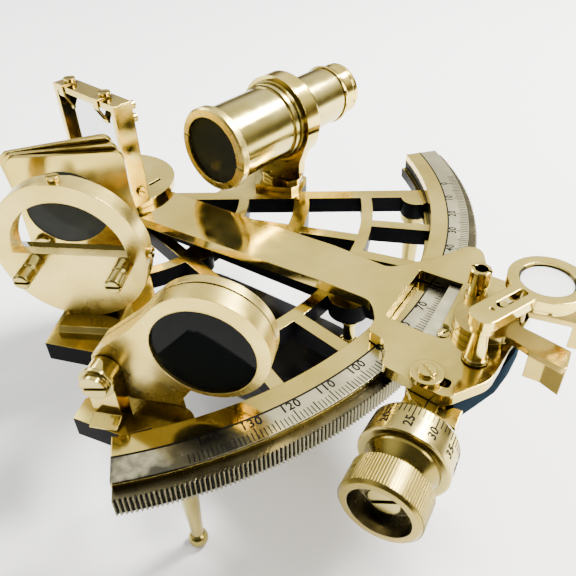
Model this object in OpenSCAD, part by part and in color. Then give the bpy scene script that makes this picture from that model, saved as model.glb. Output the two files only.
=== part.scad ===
// Brass sextant with a micrometer drum, lying on its three legs.
// Millimetres. The shape is drawn round the index arm's pivot, with Z = 0 on the face of the limb,
// +X from the pivot to the middle of the limb and +Y to the telescope's side. It is then set down
// with its feet on Z = 0 under the middle of its outline.

/* [Limb and scale] */
// Radius of the black circle where the silver scale begins
line_r = 125; // [115:1:140]
// Width of the silver scale
scale_w = 7.1; // [6:0.1:9]
// Width of the brass strip inside the scale
strip_w = 6; // [4:0.1:8]
// Thickness of the limb plate
limb_t = 2.6; // [2:0.1:4]
// Thickness of the silver inlay
inlay_t = 0.8; // [0.4:0.1:1.2]
// Angle of the limb's end on the mirrors' side
limb_low = -43.5; // [-50:0.5:-40]
// Angle of the limb's end on the telescope's side
limb_high = 49.5; // [45:0.5:55]
// How far the toothed rack stands out past the scale
rack_ledge = 3.2; // [2.5:0.1:4]
// Height of the rack's teeth
rack_h = 6.1; // [4:0.1:7]
// Angle from one rack tooth to the next
tooth_angle = 0.5; // [0.5:0.5:1]
// Depth of a rack tooth
tooth_depth = 0.8; // [0.5:0.1:1]

/* [Frame] */
// Thickness of the cast frame
frame_t = 6.4; // [5:0.1:8]
// How far the frame's face lies below the limb's face
frame_drop = 4; // [3.5:0.1:5]
// Radius of the hub round the index arm's bearing
hub_r = 15; // [13:0.5:18]
// Middle radius of the inner curved rib
rib1_r = 48; // [44:0.5:52]
// Width of the inner curved rib
rib1_w = 4; // [3:0.5:5]
// Middle radius of the short middle rib
rib2_r = 70.6; // [68:0.5:76]
// Width of the short middle rib
rib2_w = 5.9; // [4:0.1:7]
// Middle radius of the outer curved rib
rib3_r = 95.9; // [92:0.5:100]
// Width of the outer curved rib
rib3_w = 4.2; // [3:0.1:5]
// Width of the two outer spokes
edge_w = 5.5; // [4.5:0.5:7]
// Width of the inner spokes
spoke_w = 4.3; // [3.5:0.1:5.5]
// Direction of the outer spoke on the telescope's side
edge_high = 34.45; // [33:0.1:36]
// How far that spoke is set off from the pivot
edge_high_off = 4.95; // [4:0.1:6]
// Direction of the outer spoke on the mirrors' side
edge_low = -35.5; // [-37:0.1:-34]
// Direction of the middle spoke, from the hub to the limb
middle_dir = 1.6; // [-1:0.1:4]
// Directions of the two spokes from the hub to the outer rib
spoke_dirs = [18.8, -15]; // [-30:0.1:30]
// Directions of the short spokes between the outer rib and the limb
stub_dirs = [25, 13.3, -10, -21.8]; // [-30:0.1:30]

/* [Legs and handle] */
// Height of the limb's face above the surface the legs stand on
stand_h = 62; // [56:1:70]
// Radius of a leg at its shoulder
leg_r = 4; // [3:0.1:5]
// Radius of a leg's ball foot
ball_r = 3.1; // [2.4:0.1:3.4]
// How far the two limb legs stand inside the black circle
leg_inset = 9.8; // [8:0.1:12]
// Direction of the leg on the telescope's side
leg_high = 35.5; // [33:0.1:38]
// Direction of the leg on the mirrors' side
leg_low = -36.2; // [-38:0.1:-34]
// How far behind the pivot the third leg stands
leg_back = 15; // [14.5:0.1:15.5]
// Radius of the screwed end that holds a leg
stud_r = 2; // [1.5:0.1:2.5]
// Length of the handle
grip_l = 88; // [80:1:96]
// Width of the handle
grip_w = 35; // [30:1:38]
// Height of the handle
grip_h = 25; // [20:1:28]
// Clear height between the frame and the handle, where the fingers go
finger_gap = 9.6; // [8:0.1:14]
// Place of the handle's end nearest to the pivot
grip_x = 30; // [26:1:34]
// Place of the handle's straight edge
grip_y = 5; // [2:0.5:8]
// Radius of a handle post
post_r = 1.9; // [1.5:0.1:2.5]
// Place of the handle post near the limb
post_out = [106, -2.5]; // [-120:0.5:120]
// Place of the handle post near the pivot
post_in = [47.5, -8]; // [-120:0.5:120]

/* [Index arm] */
// Gap between the limb's face and the arm
arm_gap = 0.5; // [0.4:0.1:1]
// Thickness of the arm
arm_t = 3.5; // [3:0.1:4]
// Radius of the arm's round end over the pivot
arm_end_r = 16; // [14:0.5:18]
// Radius of the pivot shaft
shaft_r = 5; // [4:0.1:6]
// Length of the bearing below the frame
barrel_l = 13; // [10:0.5:16]
// Wall of the bearing bush
bush_wall = 4; // [3:0.1:5]

/* [Index mirror] */
// Radius of the round base
base_r = 21.6; // [20:0.1:23]
// Thickness of the round base
base_t = 2.5; // [2:0.1:3]
// Width of the mirror frame
mirror_w = 35.5; // [32:0.5:38]
// Height of the mirror frame
mirror_h = 37.5; // [34:0.5:40]
// Depth of the mirror frame
mirror_d = 7; // [6:0.1:8]
// Wall of the mirror frame round the glass
mirror_rim = 2; // [1.5:0.1:2.5]
// Thickness of the mirror glass
glass_t = 2.5; // [2:0.1:3]
// Turn of the mirror about the pivot
mirror_turn = -6; // [-10:0.5:-2]
// Middle of the mirror frame, seen from above
mirror_at = [4, -6]; // [-10:0.5:10]

/* [Index shades] */
// Width of a shade plate
shade_w = 35; // [32:0.5:37]
// Height of the top of the shades above the limb's face
shade_top = 38.8; // [37:0.1:41]
// Thickness of a shade plate
shade_t = 1.8; // [1.4:0.1:2]
// Gap between two shade plates
shade_gap = 0.5; // [0.3:0.1:0.8]
// Radius of the dark glass in a shade plate
shade_glass_r = 12.7; // [11:0.1:13.5]
// Turn of the shade plates
shade_turn = 40.4; // [38:0.1:43]
// Middle of the front shade plate, seen from above
shade_at = [25.2, -35.9]; // [-60:0.1:60]
// Extra lean from one plate to the next
shade_lean = 3.5; // [0:0.5:5]
// Radius of the shades' pin
shade_pin_r = 1.6; // [1.2:0.1:2]
// Place of the pin along the plate
shade_pin_u = -13.4; // [-14:0.1:-12]
// Height of the pin above the limb's face
shade_pin_z = 8.2; // [7.5:0.1:9]

/* [Horizon mirror] */
// Radius of the round holder
holder_r = 22.4; // [20:0.1:24]
// Thickness of the round holder
holder_t = 5.7; // [5:0.1:7]
// Radius of the open half-round window
window_r = 16.9; // [15:0.1:18]
// Turn of the holder
holder_turn = 29.5; // [27:0.1:32]
// Middle of the holder's face, seen from above
holder_at = [44, -54]; // [-60:0.5:60]
// Length of the two adjusting posts
adjuster_l = 10.5; // [9:0.5:12]
// Radius of the two adjusting posts
adjuster_r = 2.4; // [2:0.1:2.8]
// Thickness of the half-round mirror glass
half_glass_t = 2.5; // [2:0.1:3]

/* [Horizon shades] */
// Outer radius of a shade ring
ring_r = 15.8; // [15:0.1:16]
// Radius of the dark glass in a shade ring
ring_glass_r = 13.2; // [12:0.1:13.6]
// Thickness of the front ring
ring_front_t = 5.2; // [4:0.1:6]
// Thickness of the rear ring
ring_rear_t = 2.6; // [2:0.1:3]
// Gap between the two rings
ring_gap = 0.5; // [0.3:0.1:0.8]
// Turn of the rings
ring_turn = 23; // [20:0.5:26]
// How far inside the black circle the middle of the front ring stands
ring_inset = 6.6; // [5:0.1:8]
// Direction of the front ring's middle, seen from the pivot
ring_dir = -31.18; // [-33:0.01:-29]
// Distance of the pin from the middle of the rings
ring_pin_u = 27; // [26:0.1:29]
// Height of the pin above the limb's face
ring_pin_z = 10.2; // [9:0.1:11]
// Radius of the rings' pin
ring_pin_r = 2.2; // [1.8:0.1:2.6]

/* [Telescope] */
// Height of the sighting line above the limb's face
sight_z = 20.8; // [20:0.1:22]
// Middle of the objective's face, seen from above
objective_at = [35, 17]; // [-60:0.5:60]
// Turn of the telescope from the Y direction
scope_turn = -4.9; // [-8:0.1:-2]
// Thickness of the objective's ring round the main tube
objective_wall = 1.6; // [1.4:0.1:2]
// Radius of the main tube
tube_r = 14; // [13:0.1:14.5]
// Wall of the main tube
tube_wall = 1.2; // [1:0.1:1.6]
// Place of the holding ring along the tube
clamp_t = 38; // [36:0.5:40]
// Width of the holding ring
clamp_w = 7; // [5:0.5:9]
// Thickness of the holding ring round the main tube
clamp_wall = 3; // [2.8:0.1:4]
// Radius of the eyepiece tube
draw_r = 11.3; // [10.5:0.1:11.6]
// Length from the objective's face to the end of the eyepiece
scope_l = 76; // [72:0.5:80]

/* [Micrometer] */
// Radius of the worm over its thread
worm_r = 4.5; // [4:0.1:5]
// Length of the worm
worm_l = 14; // [12:0.5:16]
// Clear distance between the worm and the rack's teeth
worm_gap = 0.3; // [0.2:0.1:0.5]
// Radius of the micrometer's spindle
spindle_r = 2.5; // [2:0.1:3]
// Direction, seen from the pivot, of the place where the worm meets the rack
worm_dir = 6.6; // [5:0.1:8]
// Length from the worm's middle to the divided drum
drum_t = 51.5; // [50:0.5:54]
// Radius of the divided drum
drum_r = 12; // [11:0.1:13]
// Height of the divided drum
drum_l = 10; // [9:0.5:11]
// Radius of the knurled knob
knob_r = 10.3; // [9:0.1:11]
// Length of the knurled knob
knob_l = 9.3; // [8:0.1:10]
// Radius of the recess in the knob's end
recess_r = 7.95; // [7:0.05:8.5]
// Place of the carriage's pivot screw, from the black circle outward and along Y
swing_at = [16.5, -24.5]; // [-30:0.5:30]

/* [Levers] */
// Place of the release lever's hub, from the black circle outward and along Y
lever_at = [21.5, 1.2]; // [-30:0.1:30]
// Radius of the lever's hub
lever_hub_r = 8.7; // [7.5:0.1:9]
// Thickness of the levers
lever_t = 1.9; // [1.5:0.1:2.5]
// How far the fixed lever reaches out past the black circle
fixed_reach = 51; // [48:1:56]
// Reach of the lever that frees the worm, out from the arm's end
release_reach = 45.4; // [44:0.1:47]

/* [Magnifier] */
// Place of the magnifier's pillar, from the black circle outward and along Y
pillar_at = [24.2, -11.8]; // [-30:0.1:30]
// Height of the magnifier's bar above the limb's face
bar_z = 17; // [16:0.5:20]
// Thickness of the magnifier's bar
bar_t = 3; // [2:0.1:3.5]
// Width of the magnifier's bar
bar_w = 7.5; // [6.5:0.1:8.5]
// Direction of the magnifier's bar
bar_turn = 69; // [60:1:75]
// Distance from the pillar to the middle of the lens
lens_reach = 23.4; // [22:0.1:26]
// Outer radius of the lens ring
lens_ring_r = 10.3; // [9.5:0.1:11]
// Radius of the magnifying lens
lens_r = 7.3; // [6:0.1:8]

/* [Clearances] */
// Gap all round between a shaft and its bearing
run_clear = 0.05; // [0.03:0.01:0.08]
// Gap all round an inlay or a pressed piece
seat_clear = 0.02; // [0.01:0.01:0.05]
// Gap between flat faces that slide past each other
face_clear = 0.1; // [0.05:0.01:0.2]
// Gap between a moving piece and what it passes
pass_clear = 0.3; // [0.2:0.05:0.5]

/* [Hidden] */
$fn = 64;
edge_r = line_r + scale_w;
rack_r = edge_r + rack_ledge;
strip_r = line_r - strip_w;
rib_top = -limb_t;
frame_top = -frame_drop;
frame_bottom = frame_top - frame_t;
foot_z = -stand_h;
arm_bottom = arm_gap;
arm_top = arm_gap + arm_t;
base_top = arm_top + base_t;
base_x = 0.1;
left_x = base_x - base_r;
right_x = line_r + fixed_reach;
low_y = rack_r * sin(limb_low);
high_y = rack_r * sin(limb_high);
set_down = [-(left_x + right_x) / 2, -(low_y + high_y) / 2, stand_h];

// Moves the shape from the pivot's frame to the frame of the standing object
module stand() translate(set_down) children();

function unit(v) = v / norm(v);
function polar(r, a) = [r * cos(a), r * sin(a)];
function arc_points(c, r, a1, a2, n) = [for (i = [0:n]) c + polar(r, a1 + (a2 - a1) * i / n)];
// Points of the arc that rounds the corner p between its neighbours a and b
function corner_points(p, a, b, r, n) =
    let (u = unit(a - p), w = unit(b - p), half = acos(u * w) / 2)
    let (c = p + unit(u + w) * r / sin(half), s = p + u * r / tan(half), e = p + w * r / tan(half))
    let (a1 = atan2(s.y - c.y, s.x - c.x), a2 = atan2(e.y - c.y, e.x - c.x))
    let (turn = (a2 - a1 + 540) % 360 - 180)
    arc_points(c, r, a1, a1 + turn, n);
// Outline through the corners [x, y, radius], each rounded by its own radius
function rounded(v, n = 5) =
    let (k = len(v))
    [for (i = [0:k - 1])
        let (p = v[i], a = v[(i + k - 1) % k], b = v[(i + 1) % k])
        each p[2] > 0
            ? corner_points([p.x, p.y], [a.x, a.y], [b.x, b.y], p[2], n)
            : [[p.x, p.y]]];

// Flat plate between two heights
module plate(points, z1, z2)
    translate([0, 0, z1]) linear_extrude(z2 - z1) polygon([for (p = points) [p.x, p.y]]);
// Curved bar of the frame or the limb
module arc_bar(r1, r2, a1, a2, z1, z2)
    rotate([0, 0, a1]) rotate_extrude(angle = a2 - a1, $fn = 180)
        translate([r1, z1]) square([r2 - r1, z2 - z1]);
// Upright rod between two heights
module rod(at, r, z1, z2) translate([at.x, at.y, z1]) cylinder(r = r, h = z2 - z1);
// Local frame of an upright plate: X along it, -Y outward, Z up
module upright(at, turn) translate([at.x, at.y, 0]) rotate([0, 0, turn]) children();
// Rod or disc square to an upright plate, from depth w1 to depth w2 outward
module boss(u, z, r, w1, w2) translate([u, -w1, z]) rotate([90, 0, 0]) cylinder(r = r, h = w2 - w1);
// Solid turned about the local Z axis
module turned(profile) rotate_extrude() polygon(profile);
// Screw head with its slot, standing on height z
module slotted_head(at, r, h, z, turn = 0)
    translate([at.x, at.y, z]) rotate([0, 0, turn]) difference() {
        cylinder(r = r, h = h);
        translate([-r - 1, -r * 0.14, h * 0.55]) cube([2 * r + 2, r * 0.28, h]);
    }

// Point on the limb-side outer spoke, r along it
function high_edge(r) = polar(r, edge_high) + edge_high_off * [-sin(edge_high), cos(edge_high)];
// Direction, seen from the pivot, of that spoke's middle line at radius r
function high_dir(r) = edge_high + asin(edge_high_off / r);
// Plan position u along and w in front of an upright plate
function plan(at, turn, u, w) =
    [at.x + u * cos(turn) + w * sin(turn), at.y + u * sin(turn) - w * cos(turn)];
// Plan position beside the telescope's axis, t behind the objective's face
function scope_plan(u, t) = plan(objective_at, scope_turn, u, -t);
leg_at = [
    polar(line_r - leg_inset, leg_high), polar(line_r - leg_inset, leg_low), [-leg_back, 0]
];

// Frame, cast in one piece, painted black with polished upper faces
rim_r = edge_r - 5;
lug_wall = 1.1;
foot_front = [3.5, 7.1];
foot_u = [-6.6, 11];
foot_w = [-holder_t - 2, 7.2];
post_half = 4;
shade_stack = 3 * shade_t + 2 * shade_gap;
shade_post_w = [-shade_stack - 5.5, -shade_stack - pass_clear];
ring_post_u = [-ring_pin_u - 3.8, -ring_pin_u + 3.8];
ring_at = polar(line_r - ring_inset, ring_dir);
ring_post_w = [pass_clear, 5];
neck_t = [clamp_t - 3, clamp_t + 0.4];
pad_back = clamp_t + 2.2;
pad_line = [
    [0.3, 20.8], [6.6, 23.3], [14.2, 27], [14.9, 30.5], [12.4, 36.4], [9.6, pad_back], [-9.2, pad_back],
    [-9.2, 31]
];
rib_steps = 24;
rim_lift = 0.2;
module rib(r, w, a1, a2) polygon(concat(
    arc_points([0, 0], r + w / 2, a1, a2, rib_steps), arc_points([0, 0], r - w / 2, a2, a1, rib_steps)
));
module spoke(dir, r1, r2, w, off = 0) rotate(dir) translate([r1, off - w / 2]) square([r2 - r1, w]);
module round_lobe(at, r) translate([at.x, at.y]) circle(r);
module frame_lugs() {
    polygon([
        plan(holder_at, holder_turn, foot_u[0] - 3.1, foot_w[0]),
        plan(holder_at, holder_turn, foot_u[0] - 3.1, foot_w[1] + foot_front.x),
        plan(holder_at, holder_turn, foot_u[1] + 1.5, foot_w[1] + foot_front.y),
        plan(holder_at, holder_turn, foot_u[1] + 1.5, foot_w[0] + 3),
        polar(norm(holder_at) + 4, edge_low), polar(norm(holder_at) - 24, edge_low)
    ]);
    polygon([
        plan(shade_at, shade_turn, shade_pin_u - post_half - 1, shade_post_w[1] + 4),
        plan(shade_at, shade_turn, shade_pin_u + post_half + 1, shade_post_w[1] + 4),
        polar(norm(shade_at), edge_low), polar(norm(shade_at) - 20, edge_low),
        plan(shade_at, shade_turn, shade_pin_u - post_half - 1, shade_post_w[0] - lug_wall)
    ]);
    polygon([
        plan(ring_at, ring_turn, ring_post_u[0] - 5.6, 0),
        plan(ring_at, ring_turn, ring_post_u[0] - 5.6, ring_post_w[1] + 1.8),
        plan(ring_at, ring_turn, ring_post_u[1] + 1.5, ring_post_w[1] + 4.5),
        polar(line_r - 10, edge_low), polar(line_r - 28, edge_low)
    ]);
    polygon([
        high_edge(norm(scope_plan(-9.5, 5))), scope_plan(-11.2, 20), scope_plan(-11.2, pad_back + lug_wall),
        scope_plan(10.2, pad_back + lug_wall), scope_plan(13.4, 37), scope_plan(16, 30.6),
        high_edge(norm(scope_plan(16, 30.6)) - 1)
    ]);
}
module frame_lattice() {
    round_lobe([0, 0], hub_r);
    round_lobe([-leg_back, 0], leg_r + 2);
    rib(rib1_r, rib1_w, edge_low, high_dir(rib1_r));
    rib(rib2_r, rib2_w, middle_dir, high_dir(rib2_r));
    rib(rib3_r, rib3_w, edge_low, high_dir(rib3_r));
    spoke(edge_high, 4, strip_r + 1, edge_w, edge_high_off);
    spoke(edge_low, hub_r - 2, strip_r + 1, edge_w);
    spoke(middle_dir, hub_r - 2, strip_r + 1, spoke_w);
    for (dir = spoke_dirs) spoke(dir, hub_r - 2, rib3_r, spoke_w);
    for (dir = stub_dirs) spoke(dir, rib3_r, strip_r + 1, spoke_w);
    for (i = [0:1]) round_lobe(leg_at[i], leg_r + 1.5);
    round_lobe(post_out + [-2.5, 3.5], 6.7);
    round_lobe(post_in, post_r + 3);
    frame_lugs();
}
module frame_casting() color("#1c1c1e") stand() difference() {
    union() {
        translate([0, 0, frame_bottom]) linear_extrude(frame_t) frame_lattice();
        arc_bar(strip_r, rim_r, limb_low, limb_high, frame_bottom + rim_lift, rib_top);
        arc_bar(strip_r - 1.4, strip_r + 1, limb_low, limb_high, frame_bottom + 2 * rim_lift, frame_bottom + 4.2);
    }
    rod([0, 0], shaft_r + bush_wall + seat_clear, frame_bottom - 1, frame_top + 1);
    for (at = leg_at) rod(at, stud_r + seat_clear, frame_bottom - 1, frame_bottom + 4.6);
}

// Brass limb plate with a step for the silver
module limb_plate() color("#d9b45a") stand() difference() {
    arc_bar(strip_r, edge_r, limb_low, limb_high, -limb_t, 0);
    arc_bar(line_r, edge_r + 1, limb_low - 1, limb_high + 1, -inlay_t, 1);
}

// Silver scale let into the limb plate
module scale_arc() color("#c8c8bf") stand()
    arc_bar(line_r + seat_clear, edge_r, limb_low, limb_high, -inlay_t, 0);

// Toothed rack under the limb's outer edge, one V-shaped gap to each half degree
tooth_count = floor((limb_high - limb_low) / tooth_angle);
function rack_outline() = concat(
    [for (i = [0:tooth_count - 1], side = [0, 1])
        polar(rack_r - side * tooth_depth, limb_low + (i + side / 2) * tooth_angle)],
    [polar(rack_r, limb_high)],
    [for (i = [0:12]) polar(rim_r - 2, limb_high + (limb_low - limb_high) * i / 12)]
);
module rack_arc() color("#c9a24d") stand() difference() {
    plate(rack_outline(), -limb_t - rack_h, -limb_t);
    translate([0, 0, -limb_t - rack_h - 1])
        cylinder(r = rim_r + seat_clear, h = rack_h + 2, $fn = 360);
}

// Bush that carries the index arm's pivot shaft
bush_top = arm_bottom - pass_clear;
bush_bottom = frame_bottom - barrel_l;
module centre_bearing() color("#d9b45a") stand() turned([
    [shaft_r, bush_bottom], [shaft_r + bush_wall - 1.5, bush_bottom],
    [shaft_r + bush_wall, frame_bottom], [shaft_r + bush_wall, frame_top],
    [hub_r - 2, frame_top], [hub_r - 2, bush_top], [shaft_r, bush_top]
]);

// Three turned legs with ball feet
ball_z = foot_z + ball_r * 0.8;
module leg(at) translate([at.x, at.y, 0]) turned(concat(
    [[0, foot_z]],
    [for (a = [-53.13:14:59]) [ball_r * cos(a), ball_z + ball_r * sin(a)]],
    [
        [ball_r * 0.62, ball_z + ball_r * 1.1], [leg_r * 0.9, frame_bottom - 6],
        [leg_r * 0.75, frame_bottom - 4.2], [leg_r + 1, frame_bottom - 3],
        [leg_r + 1, frame_bottom - 0.8], [leg_r + 0.6, frame_bottom],
        [stud_r, frame_bottom], [stud_r, frame_bottom + 4.4], [0, frame_bottom + 4.4]
    ]
));
module legs() color("#d9b45a") stand() for (at = leg_at) leg(at);

// Moulded handle: rounded ends, flat top, and shallow finger hollows along the outer side
grip_top = frame_bottom - finger_gap;
grip_flat = 0.82;
grip_rings = 30;
grip_sides = 28;
grip_half_h = grip_h / (1 + grip_flat);
function grip_end(s) = 0.3 + 0.7 * sqrt(max(0, 1 - pow(abs(2 * s - 1), 5)));
function grip_hollow(s, a) = 1 - 0.055 * (1 - cos(360 * 4 * s)) / 2 * max(0, -cos(a));
function rounded_cos(a) = sign(cos(a)) * pow(abs(cos(a)), 0.5);
function rounded_sin(a) = sign(sin(a)) * pow(abs(sin(a)), 0.5);
function grip_point(s, a) = [
    grip_x + grip_l * s,
    grip_y - grip_w / 2 + grip_w / 2 * grip_end(s) * grip_hollow(s, a) * rounded_cos(a),
    grip_top - grip_half_h * grip_flat
        + grip_half_h * min(grip_flat, grip_end(s) * rounded_sin(a))
];
module handle() color("#151516") stand() polyhedron(
    points = [for (i = [0:grip_rings], k = [0:grip_sides - 1])
        grip_point(i / grip_rings, 360 * (k + 0.5) / grip_sides)],
    faces = concat(
        [[for (k = [0:grip_sides - 1]) k]],
        [for (i = [0:grip_rings - 1], k = [0:grip_sides - 1])
            let (n = (k + 1) % grip_sides, a = i * grip_sides, b = a + grip_sides)
            each [[a + k, b + k, b + n], [a + k, b + n, a + n]]],
        [[for (k = [grip_sides - 1:-1:0]) grip_rings * grip_sides + k]]
    )
);

// Two pillars between the frame and the handle
module handle_posts() color("#d9b45a") stand() for (at = [post_out, post_in])
    translate([at.x, at.y, 0]) turned([
        [0, grip_top], [post_r + 0.9, grip_top], [post_r + 0.9, grip_top + 1.2], [post_r, grip_top + 2],
        [post_r, frame_bottom - 1.6], [post_r + 1, frame_bottom - 0.6], [post_r + 1, frame_bottom],
        [0, frame_bottom]
    ]);

// Telescope: foot with a flange, holding ring on its neck, tube, objective and sliding eyepiece
flange_t = 2;
flange_top = arm_bottom - pass_clear;
flange_line = [
    [-4.2, 29.9, 1.5], [-1.5, 27.4, 2], [4.5, 26.4, 3], [12.2, 27.8, 2], [14.4, 31.4, 1.5], [12.2, 36, 0],
    [9.4, pad_back, 0], [-9, pad_back, 0], [-9, 33, 1.5]
];
flange_holes = [[0.4, 29.2], [7.4, 30]];
module scope() translate([objective_at.x, objective_at.y, 0]) rotate([0, 0, scope_turn]) children();
module scope_axis() scope() translate([0, 0, sight_z]) rotate([-90, 0, 0]) children();
module telescope_bracket() color("#d9b45a") stand() scope() difference() {
    union() {
        plate(pad_line, frame_top, flange_top - flange_t);
        plate(rounded(flange_line), flange_top - flange_t, flange_top);
    }
    for (at = flange_holes) rod(at, 0.9, flange_top - 1.4, flange_top + 1);
}
tube_neck_r = tube_r - 0.6;
clamp_r = tube_r + clamp_wall;
objective_r = tube_r + objective_wall;
module telescope_holder() color("#d9b45a") stand() scope() difference() {
    union() {
        translate([0, clamp_t - clamp_w / 2, sight_z]) rotate([-90, 0, 0])
            cylinder(r = clamp_r, h = clamp_w);
        translate([0, neck_t[1], 0]) rotate([90, 0, 0]) linear_extrude(neck_t[1] - neck_t[0])
            polygon(rounded([
                [-8.6, flange_top, 0], [11.6, flange_top, 0], [11.7, flange_top + 5, 8],
                [16.6, sight_z - 4, 0], [-16.2, sight_z - 5, 0], [-9.6, flange_top + 5, 8]
            ]));
    }
    translate([0, clamp_t - clamp_w, sight_z]) rotate([-90, 0, 0])
        cylinder(r = tube_neck_r + seat_clear, h = 2 * clamp_w);
}
clamp_front = clamp_t - clamp_w / 2;
clamp_back = clamp_t + clamp_w / 2;
tube_front = 1.6;
tube_in = tube_r - tube_wall;
tube_end = clamp_back + 5.5;
module telescope_tube() color("#dcb95f") stand() scope_axis() turned([
    [tube_in, tube_front], [tube_r, tube_front], [tube_r, clamp_front - 4.5],
    [tube_r + 0.9, clamp_front - 4.2], [tube_r + 0.9, clamp_front - 2.6], [tube_r + 0.2, clamp_front - 2.2],
    [tube_r + 0.2, clamp_front - 1.8], [tube_r + 1.4, clamp_front - 1.5], [tube_r + 1.4, clamp_front],
    [tube_neck_r, clamp_front], [tube_neck_r, clamp_back + 0.4], [tube_neck_r - 0.3, clamp_back + 2.6],
    [draw_r + 1, tube_end], [draw_r + run_clear, tube_end], [draw_r + run_clear, clamp_t],
    [tube_in, clamp_t - 1.5]
]);
module objective_ring() color("#d9b45a") stand() scope_axis() difference() {
    turned([
        [tube_in - 0.4, 0], [objective_r - 0.7, 0], [objective_r, 0.7], [objective_r, 3.2],
        [objective_r - 0.5, 3.8], [tube_r + seat_clear, 3.8], [tube_r + seat_clear, tube_front],
        [tube_in - 0.4, tube_front]
    ]);
    for (a = [12, 192]) rotate([0, 0, a]) translate([tube_in - 1, -0.5, -1])
        cube([objective_r, 1, 1.7]);
}
module objective_lens() color("#8fa3a0", 0.6) stand() scope_axis()
    translate([0, 0, tube_front + face_clear]) cylinder(r = tube_in - seat_clear, h = 3);
draw_start = clamp_t - 8;
cap_start = scope_l - 10.5;
module eyepiece_tube() color("#dcb95f") stand() scope_axis() turned([
    [draw_r - 1.1, draw_start], [draw_r, draw_start], [draw_r, cap_start], [draw_r - 1.1, cap_start]
]);
eye_r = 5;
module eyepiece_cap() color("#d9b45a") stand() scope_axis() turned([
    [draw_r - 1.1, cap_start], [draw_r + 0.5, cap_start], [draw_r + 0.7, cap_start + 0.8],
    [draw_r + 0.5, cap_start + 1.6], [draw_r - 0.9, cap_start + 2.4], [draw_r - 0.6, scope_l - 3.4],
    [draw_r - 0.9, scope_l - 3], [draw_r - 0.6, scope_l - 2.4], [draw_r - 0.6, scope_l - 0.8],
    [draw_r - 1.6, scope_l], [eye_r - 1, scope_l - 1.4], [eye_r - 1, scope_l - 3],
    [eye_r + 0.5, scope_l - 3], [eye_r + 0.5, scope_l - 5.5], [eye_r + 1.5, scope_l - 5.5],
    [draw_r - 1.1, cap_start + 2]
]);
module eye_lens() color("#9db3b0", 0.6) stand() scope_axis()
    translate([0, 0, scope_l - 5.4]) cylinder(r = eye_r + 0.5 - seat_clear, h = 2.3);

// Horizon mirror: foot, round holder with a half-round window, glass, adjusters and screws
foot_top = -1.2;
module horizon_foot() color("#d9b45a") stand() upright(holder_at, holder_turn)
    translate([foot_u[0], 0, 0]) rotate([90, 0, 90]) linear_extrude(foot_u[1] - foot_u[0]) polygon([
        [-foot_w[0], frame_top], [-foot_w[0], foot_top], [-foot_w[1] + 1.4, foot_top],
        [-foot_w[1], foot_top - 1.4], [-foot_w[1], frame_top]
    ]);
module horizon_holder() color("#e0c278") stand() upright(holder_at, holder_turn) difference() {
    boss(0, sight_z, holder_r, -holder_t, 0);
    difference() {
        boss(0, sight_z, window_r, -holder_t - 1, 1);
        translate([-holder_r, -2, sight_z - 2 * holder_r]) cube([2 * holder_r, holder_t + 4, 2 * holder_r]);
    }
    intersection() {
        boss(0, sight_z, window_r + seat_clear, -holder_t - 1, -holder_t + half_glass_t);
        translate([-holder_r, -2, sight_z - holder_r]) cube([2 * holder_r, holder_t + 4, holder_r + 0.1]);
    }
    translate([-holder_r, -2, foot_top - holder_r]) cube([2 * holder_r, holder_t + 4, holder_r]);
    translate([-3, -1, sight_z + holder_r - 0.3]) cube([6, holder_t + 2, 3]);
    translate([holder_r - 0.3, -1, sight_z - 3]) cube([3, holder_t + 2, 6]);
}
module horizon_glass() color("#b9c2c4") stand() upright(holder_at, holder_turn) difference() {
    boss(0, sight_z, window_r - seat_clear, -holder_t, -holder_t + half_glass_t - seat_clear);
    translate([-holder_r, -2, sight_z]) cube([2 * holder_r, holder_t + 4, holder_r]);
}
module adjuster(u, z, r, l) translate([u, 0, z]) rotate([90, 0, 0]) difference() {
    turned([
        [0, 0], [r, 0], [r, l * 0.44], [r - 0.4, l * 0.47], [r - 0.4, l * 0.53], [r, l * 0.56],
        [r, l - 0.5], [r - 0.5, l], [0, l]
    ]);
    translate([-r - 1, -r * 0.16, l - 1.1]) cube([2 * r + 2, r * 0.32, 2]);
}
module horizon_adjusters() color("#d9b45a") stand() upright(holder_at, holder_turn) {
    adjuster(-10.6, sight_z - 2.6, adjuster_r, adjuster_l);
    adjuster(15.4, sight_z - 2.6, adjuster_r, adjuster_l);
}
module horizon_screws() color("#c9a24d") stand() upright(holder_at, holder_turn) {
    slotted_head([0, holder_t / 2], 1.7, 1.3, sight_z + holder_r - 0.3, 30);
    translate([holder_r - 0.3, holder_t / 2, sight_z]) rotate([0, 90, 0]) slotted_head([0, 0], 1.7, 1.3, 0, 60);
}

// Index shades: three plates with dark glass that swing on one pin
shade_low = arm_top + face_clear * 5;
module shade_place(i) upright(shade_at, shade_turn)
    translate([shade_pin_u, 0, shade_pin_z]) rotate([0, -shade_lean * i, 0])
        translate([-shade_pin_u, i * (shade_t + shade_gap), -shade_pin_z]) children();
shade_glass_u = -2.9;
shade_glass_z = sight_z;
module index_shade(i) color("#dcb95f") stand() shade_place(i) difference() {
    translate([0, shade_t, 0]) rotate([90, 0, 0]) linear_extrude(shade_t) polygon(rounded([
        [-shade_w / 2, shade_low, 2.5], [shade_w / 2, shade_low, 2.5], [shade_w / 2, shade_top, 3],
        [-shade_w / 2, shade_top, 3]
    ]));
    boss(shade_glass_u, shade_glass_z, shade_glass_r, -shade_t - 1, 1);
    boss(shade_pin_u, shade_pin_z, shade_pin_r + run_clear, -shade_t - 1, 1);
}
module index_shade_1() index_shade(0);
module index_shade_2() index_shade(1);
module index_shade_3() index_shade(2);
module index_glass(i) color("#20262a", 0.85) stand() shade_place(i)
    boss(shade_glass_u, shade_glass_z, shade_glass_r - seat_clear, -shade_t + 0.3, -0.3);
module index_glass_1() index_glass(0);
module index_glass_2() index_glass(1);
module index_glass_3() index_glass(2);
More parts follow.
